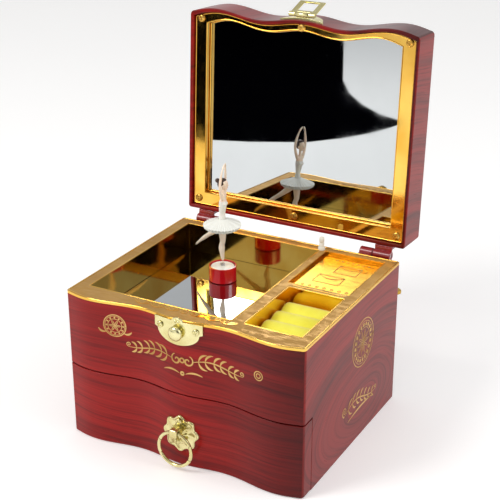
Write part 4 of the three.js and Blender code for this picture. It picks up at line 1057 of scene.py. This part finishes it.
# ------------------------------------------------------------ dancer
def limb(points, n=16):
    """A smooth bar through (x, y, z, radius across, radius along) points, with rounded ends."""
    keys = [tuple(p) + ((p[3],) if len(p) == 4 else ()) for p in points]
    fine = []
    for i in range(len(keys) - 1):
        k = [keys[max(i - 1, 0)], keys[i], keys[i + 1], keys[min(i + 2, len(keys) - 1)]]
        for s in range(5):
            t = s / 5
            fine.append([0.5 * (2 * b + (c - a) * t + (2 * a - 5 * b + 4 * c - d) * t * t
                                + (3 * b - a - 3 * c + d) * t ** 3) for a, b, c, d in zip(*k)])
    fine.append(list(keys[-1]))
    count = len(fine)
    verts, faces = [], bands(count - 1, n)
    for i, (x, y, z, rx, ry) in enumerate(fine):
        here = Vector((x, y, z))
        along = (Vector(fine[min(i + 1, count - 1)][:3]) - Vector(fine[max(i - 1, 0)][:3])).normalized()
        side = along.cross(Vector((1, 0, 0))).normalized()
        fore = side.cross(along)
        for u, v in circle(0, 0, 1, n):
            verts.append(here + side * (u * ry) + fore * (v * rx))
    for end, ring_at, sign in ((0, 0, -1), (count - 1, (count - 1) * n, 1)):
        x, y, z, rx, ry = fine[end]
        other = fine[1] if end == 0 else fine[-2]
        out = (Vector((x, y, z)) - Vector(other[:3])).normalized()
        tip = len(verts)
        verts.append(Vector((x, y, z)) + out * min(rx, ry) * 0.8)
        faces += [(ring_at + k, ring_at + (k + 1) % n, tip) for k in range(n)]
    return piece("limb", verts, faces, FIGURE)


def ball(x, y, z, rx, ry=None, rz=None, look=None, n=20):
    ry, rz = ry or rx, rz or rx
    profile = [(sin(pi * i / 12), -cos(pi * i / 12)) for i in range(13)]
    profile[0], profile[-1] = (0, -1), (0, 1)
    made = lathe("ball", profile, look or FIGURE, n=n)
    made.data.transform(Matrix.Translation(Vector((x, y, z)) * MM) @ Matrix.Diagonal((rx, ry, rz, 1)))
    return made


def melt(name, parts, voxel, rounds):
    """Fuses overlapping forms into one skin and relaxes it."""
    return smooth(relax(remesh(merge(name, *parts), voxel), rounds), 180, False)


body_parts = [
    limb([(0.3, 0, 0.5, 0.28), (0.25, 0, 1.2, 0.34), (0.2, 0, 2.1, 0.95), (0, 0, 3.6, 1.15),
          (-0.35, 0, 6, 1.45), (-0.65, 0, 9, 1.85),
          (-0.4, 0, 11.6, 1.6), (0.3, 0, 13.6, 1.65), (0.2, 0, 17, 2.05), (0, 0.1, 21, 2.5),
          (0, 0.2, 24.4, 2.6)]),
    limb([(0, 0.6, 24.4, 2.4), (-3.6, 0.6, 21.6, 2.2), (-8, 0.6, 17.8, 1.8), (-11.8, 0.5, 14.9, 1.4),
          (-13.4, 0.5, 13.7, 1.3), (-16.2, 0.4, 11.5, 1.3), (-19.2, 0.2, 9, 0.95), (-21, 0.1, 7.4, 0.72),
          (-22.6, 0, 5.9, 0.66), (-24, 0, 4.5, 0.36)]),
    limb([(0, 0, 22.5, 2.4, 2.6), (0, 0, 25.5, 2.6, 3.0), (0, 0, 28.5, 2.0, 2.4), (0.05, 0, 31, 1.65, 2.0),
          (0.2, 0, 34, 1.9, 2.3), (0.45, 0, 37.4, 2.35, 2.75), (0.6, 0, 40, 2.0, 2.9), (0.7, 0, 42, 1.4, 2.7),
          (0.75, 0, 43.2, 1.1, 1.7), (0.8, 0, 44.4, 1.0, 1.05), (0.85, 0, 46.6, 0.98, 0.98),
          (0.9, 0, 49, 1.1, 1.1)]),
    ball(2.0, 1.25, 38.0, 1.15), ball(2.0, -1.25, 38.0, 1.15),
    ball(1.0, 0, 50.5, 2.75, 2.4, 3.05), ball(1.55, 0, 48.9, 2.0, 1.75, 1.9),
    ball(2.75, 0, 47.55, 0.7, 0.75, 0.55),
    limb([(3.2, 0, 51.0, 0.22), (3.75, 0, 50.0, 0.34), (3.95, 0, 49.5, 0.36)], 10),
    ball(3.1, 0, 48.55, 0.5, 0.7, 0.4),
]
for s in (-1, 1):
    body_parts += [
        ball(0.8, s * 2.75, 42.0, 1.15),
        limb([(0.8, s * 2.4, 41.6, 1.1), (0.7, s * 3.9, 44.6, 1.02), (0.5, s * 5.0, 48.2, 0.9),
              (0.45, s * 5.3, 51.0, 0.82), (0.7, s * 4.8, 54.2, 0.82), (1.0, s * 3.8, 57.6, 0.66),
              (1.3, s * 2.9, 59.8, 0.5), (1.55, s * 2.2, 61.2, 0.62), (1.8, s * 1.3, 62.4, 0.5),
              (2.0, s * 0.6, 63.2, 0.26)], 12),
    ]


def twist(made, turn=30):
    """Turns everything above the waist about the standing leg, so the face looks across the box."""
    for vertex in made.data.vertices:
        t = min(max((vertex.co.z / MM - 31) / 9, 0), 1)
        vertex.co = Matrix.Rotation(radians(turn) * t * t * (3 - 2 * t), 3, "Z") @ vertex.co
    return made


dancer = twist(melt("dancer_skin", body_parts, 0.26, 3))
belong(placed(dancer, DANCER), "dancer", ["dancer"])

hair = [ball(0.45, 0, 51.15, 2.85, 2.6, 2.95), ball(-0.6, 0, 50.2, 2.2, 2.3, 2.6),
        ball(-2.7, 0, 52.2, 1.45, 1.5, 1.35)]
hair = merge("hair", *hair)
hair.data.materials.clear()
hair.data.materials.append(HAIR)
remesh(hair, 0.24)
face_side = block("cut", 1.35, 6, -4, 4, 40, 52.3, HAIR)
face_side.data.transform(Matrix.Translation(Vector((1.3, 0, 52)) * MM) @ rotation(-20, "Y")
                         @ Matrix.Translation(Vector((-1.3, 0, -52)) * MM))
relax(carve(hair, face_side), 2)
hair.name = "dancer_hair"
belong(placed(twist(smooth(hair, 60, False)), DANCER), "dancer")
eyes = [ball(3.28, s * 0.85, 50.25, 0.22, 0.36, 0.17, INK, 12) for s in (-1, 1)]
brows = [ball(3.28, s * 0.9, 51.0, 0.16, 0.45, 0.08, INK, 12) for s in (-1, 1)]
lips = ball(3.5, 0, 48.55, 0.22, 0.42, 0.2, LIP, 12)
features = smooth(merge("dancer_face", *eyes, *brows, lips), 60, False)
belong(placed(twist(features), DANCER), "dancer")


# ------------------------------------------------------------ tutu
def net_layer(name, z, radius, droop, pleats, phase, thickness=0.22):
    """One pleated layer of the skirt, closed and thin."""
    spokes, rings = pleats * 6, 16
    chance = random.Random(phase)
    wobble = [chance.uniform(0.6, 1.25) for _ in range(pleats)]
    verts = []
    for lower in (0, 1):
        for j in range(rings + 1):
            t = j / rings
            r = 2.5 + (radius - 2.5) * t
            for i in range(spokes):
                angle = 2 * pi * i / spokes
                size = wobble[(i // 6) % pleats]
                fold = sin(pleats * angle + phase) * 0.3 * size * t ** 1.4
                edge = 1 + 0.012 * sin(3 * angle + phase) * t
                height = z + 2.4 * (1 - t) ** 1.6 - droop * t ** 2.2 + fold - lower * thickness
                verts.append((r * edge * cos(angle), r * edge * sin(angle), height))
    layer = (rings + 1) * spokes
    outer = rings * spokes
    faces = bands(rings, spokes) + bands(rings, spokes, layer)
    for i in range(spokes):
        k = (i + 1) % spokes
        faces.append((outer + i, layer + outer + i, layer + outer + k, outer + k))
        faces.append((i, k, layer + k, layer + i))
    return piece(name, verts, faces, NET)


layers = [net_layer("n0", 25.9, 11.5, 1.3, 34, 1), net_layer("n1", 25.2, 11.0, 1.7, 30, 2),
          net_layer("n2", 24.5, 9.8, 2.0, 26, 3)]
skirt = smooth(merge("tutu_layers", *layers), 60, False)
belong(placed(skirt, DANCER), "dancer", ["tutu"])

# ------------------------------------------------------------ floor, reflection cards, lights, camera
def stage_plane(name, corners, colour, strength=0.0, roughness=0.6, gloss=0.1):
    look = Look(name, Roughness=roughness)
    cloud = look.noise(3, 2)
    near = tuple(min(1, c * 1.01) for c in colour[:3]) + (1,)
    look.link(look.ramp(cloud, (0.3, colour), (0.7, near)), "Base Color")
    look.shader.inputs["Specular IOR Level"].default_value = gloss
    if strength:
        look.shader.inputs["Emission Color"].default_value = (1, 1, 1, 1)
        look.shader.inputs["Emission Strength"].default_value = strength
    made = piece(name, corners, [tuple(range(len(corners)))], look.material)
    return made


stage_plane("floor", [(x * FLOOR, y * FLOOR, 0) for x, y in ((-1, -1), (1, -1), (1, 1), (-1, 1))],
            srgb(246, 245, 244), 0.24)


def only_in_reflections(made):
    made.visible_camera = False
    made.visible_diffuse = False
    made.visible_shadow = False
    made.visible_transmission = False


# what the lid mirror shows is black above and to the left, with a pale window beside it
dark = stage_plane("dark_card", [(x, y, 2) for x, y in (
    (-2600, -360), (-379, -472), (-337, -496), (-285, -540), (-262, -590), (-248, -640), (-241, -690),
    (-238, -742), (-284, -766), (-335, -820), (-385, -890), (-440, -990), (-697, -1567), (-1140, -2600),
    (-2600, -2600))],
    srgb(2, 2, 4), roughness=1.0, gloss=0.0)
room = stage_plane("room_card", [(x, y, z) for x, y, z in (
    (150, -1500, 250), (1250, -1000, 250), (1250, -1000, 950), (150, -1500, 950))], srgb(2, 2, 4), gloss=0.0)
for card in (dark, room):
    only_in_reflections(card)

world = bpy.data.worlds.new("studio")
bpy.context.scene.world = world
world.use_nodes = True
sky = world.node_tree
back = sky.nodes["Background"]
coords = sky.nodes.new("ShaderNodeTexCoord")
split = sky.nodes.new("ShaderNodeSeparateXYZ")
ramp = sky.nodes.new("ShaderNodeValToRGB")
sky.links.new(coords.outputs["Generated"], split.inputs[0])
sky.links.new(split.outputs["Z"], ramp.inputs["Fac"])
stops = ramp.color_ramp.elements
stops[0].position, stops[0].color = 0.03, (0.99, 0.99, 1.0, 1)
stops[1].position, stops[1].color = 0.5, (0.56, 0.56, 0.56, 1)
sky.links.new(ramp.outputs["Color"], back.inputs["Color"])
back.inputs["Strength"].default_value = 1.0


def softbox(name, place, target, size, power, colour=(1, 1, 1)):
    light = bpy.data.lights.new(name, "AREA")
    light.shape, light.size, light.energy, light.color = "DISK", size, power, colour
    made = shown(name, light)
    made.location = place
    made.rotation_euler = (Vector(target) - Vector(place)).to_track_quat("-Z", "Y").to_euler()


softbox("key", (-0.55, -0.75, 0.95), (0, 0, 0.06), 0.5, 7, (1, 0.985, 0.96))
softbox("fill", (0.9, 0.1, 0.7), (0, 0, 0.08), 0.6, 3.5, (0.97, 0.98, 1))

camera = bpy.data.cameras.new("camera")
camera.lens, camera.sensor_width, camera.clip_start = 86.9, 36, 0.01
viewer = shown("camera", camera)
viewer.location = (0.3105, -0.5544, 0.3781)
viewer.rotation_euler = (radians(90 - 23.10), 0, radians(28.59))
bpy.context.scene.camera = viewer
bpy.context.scene.view_settings.view_transform = "Standard"
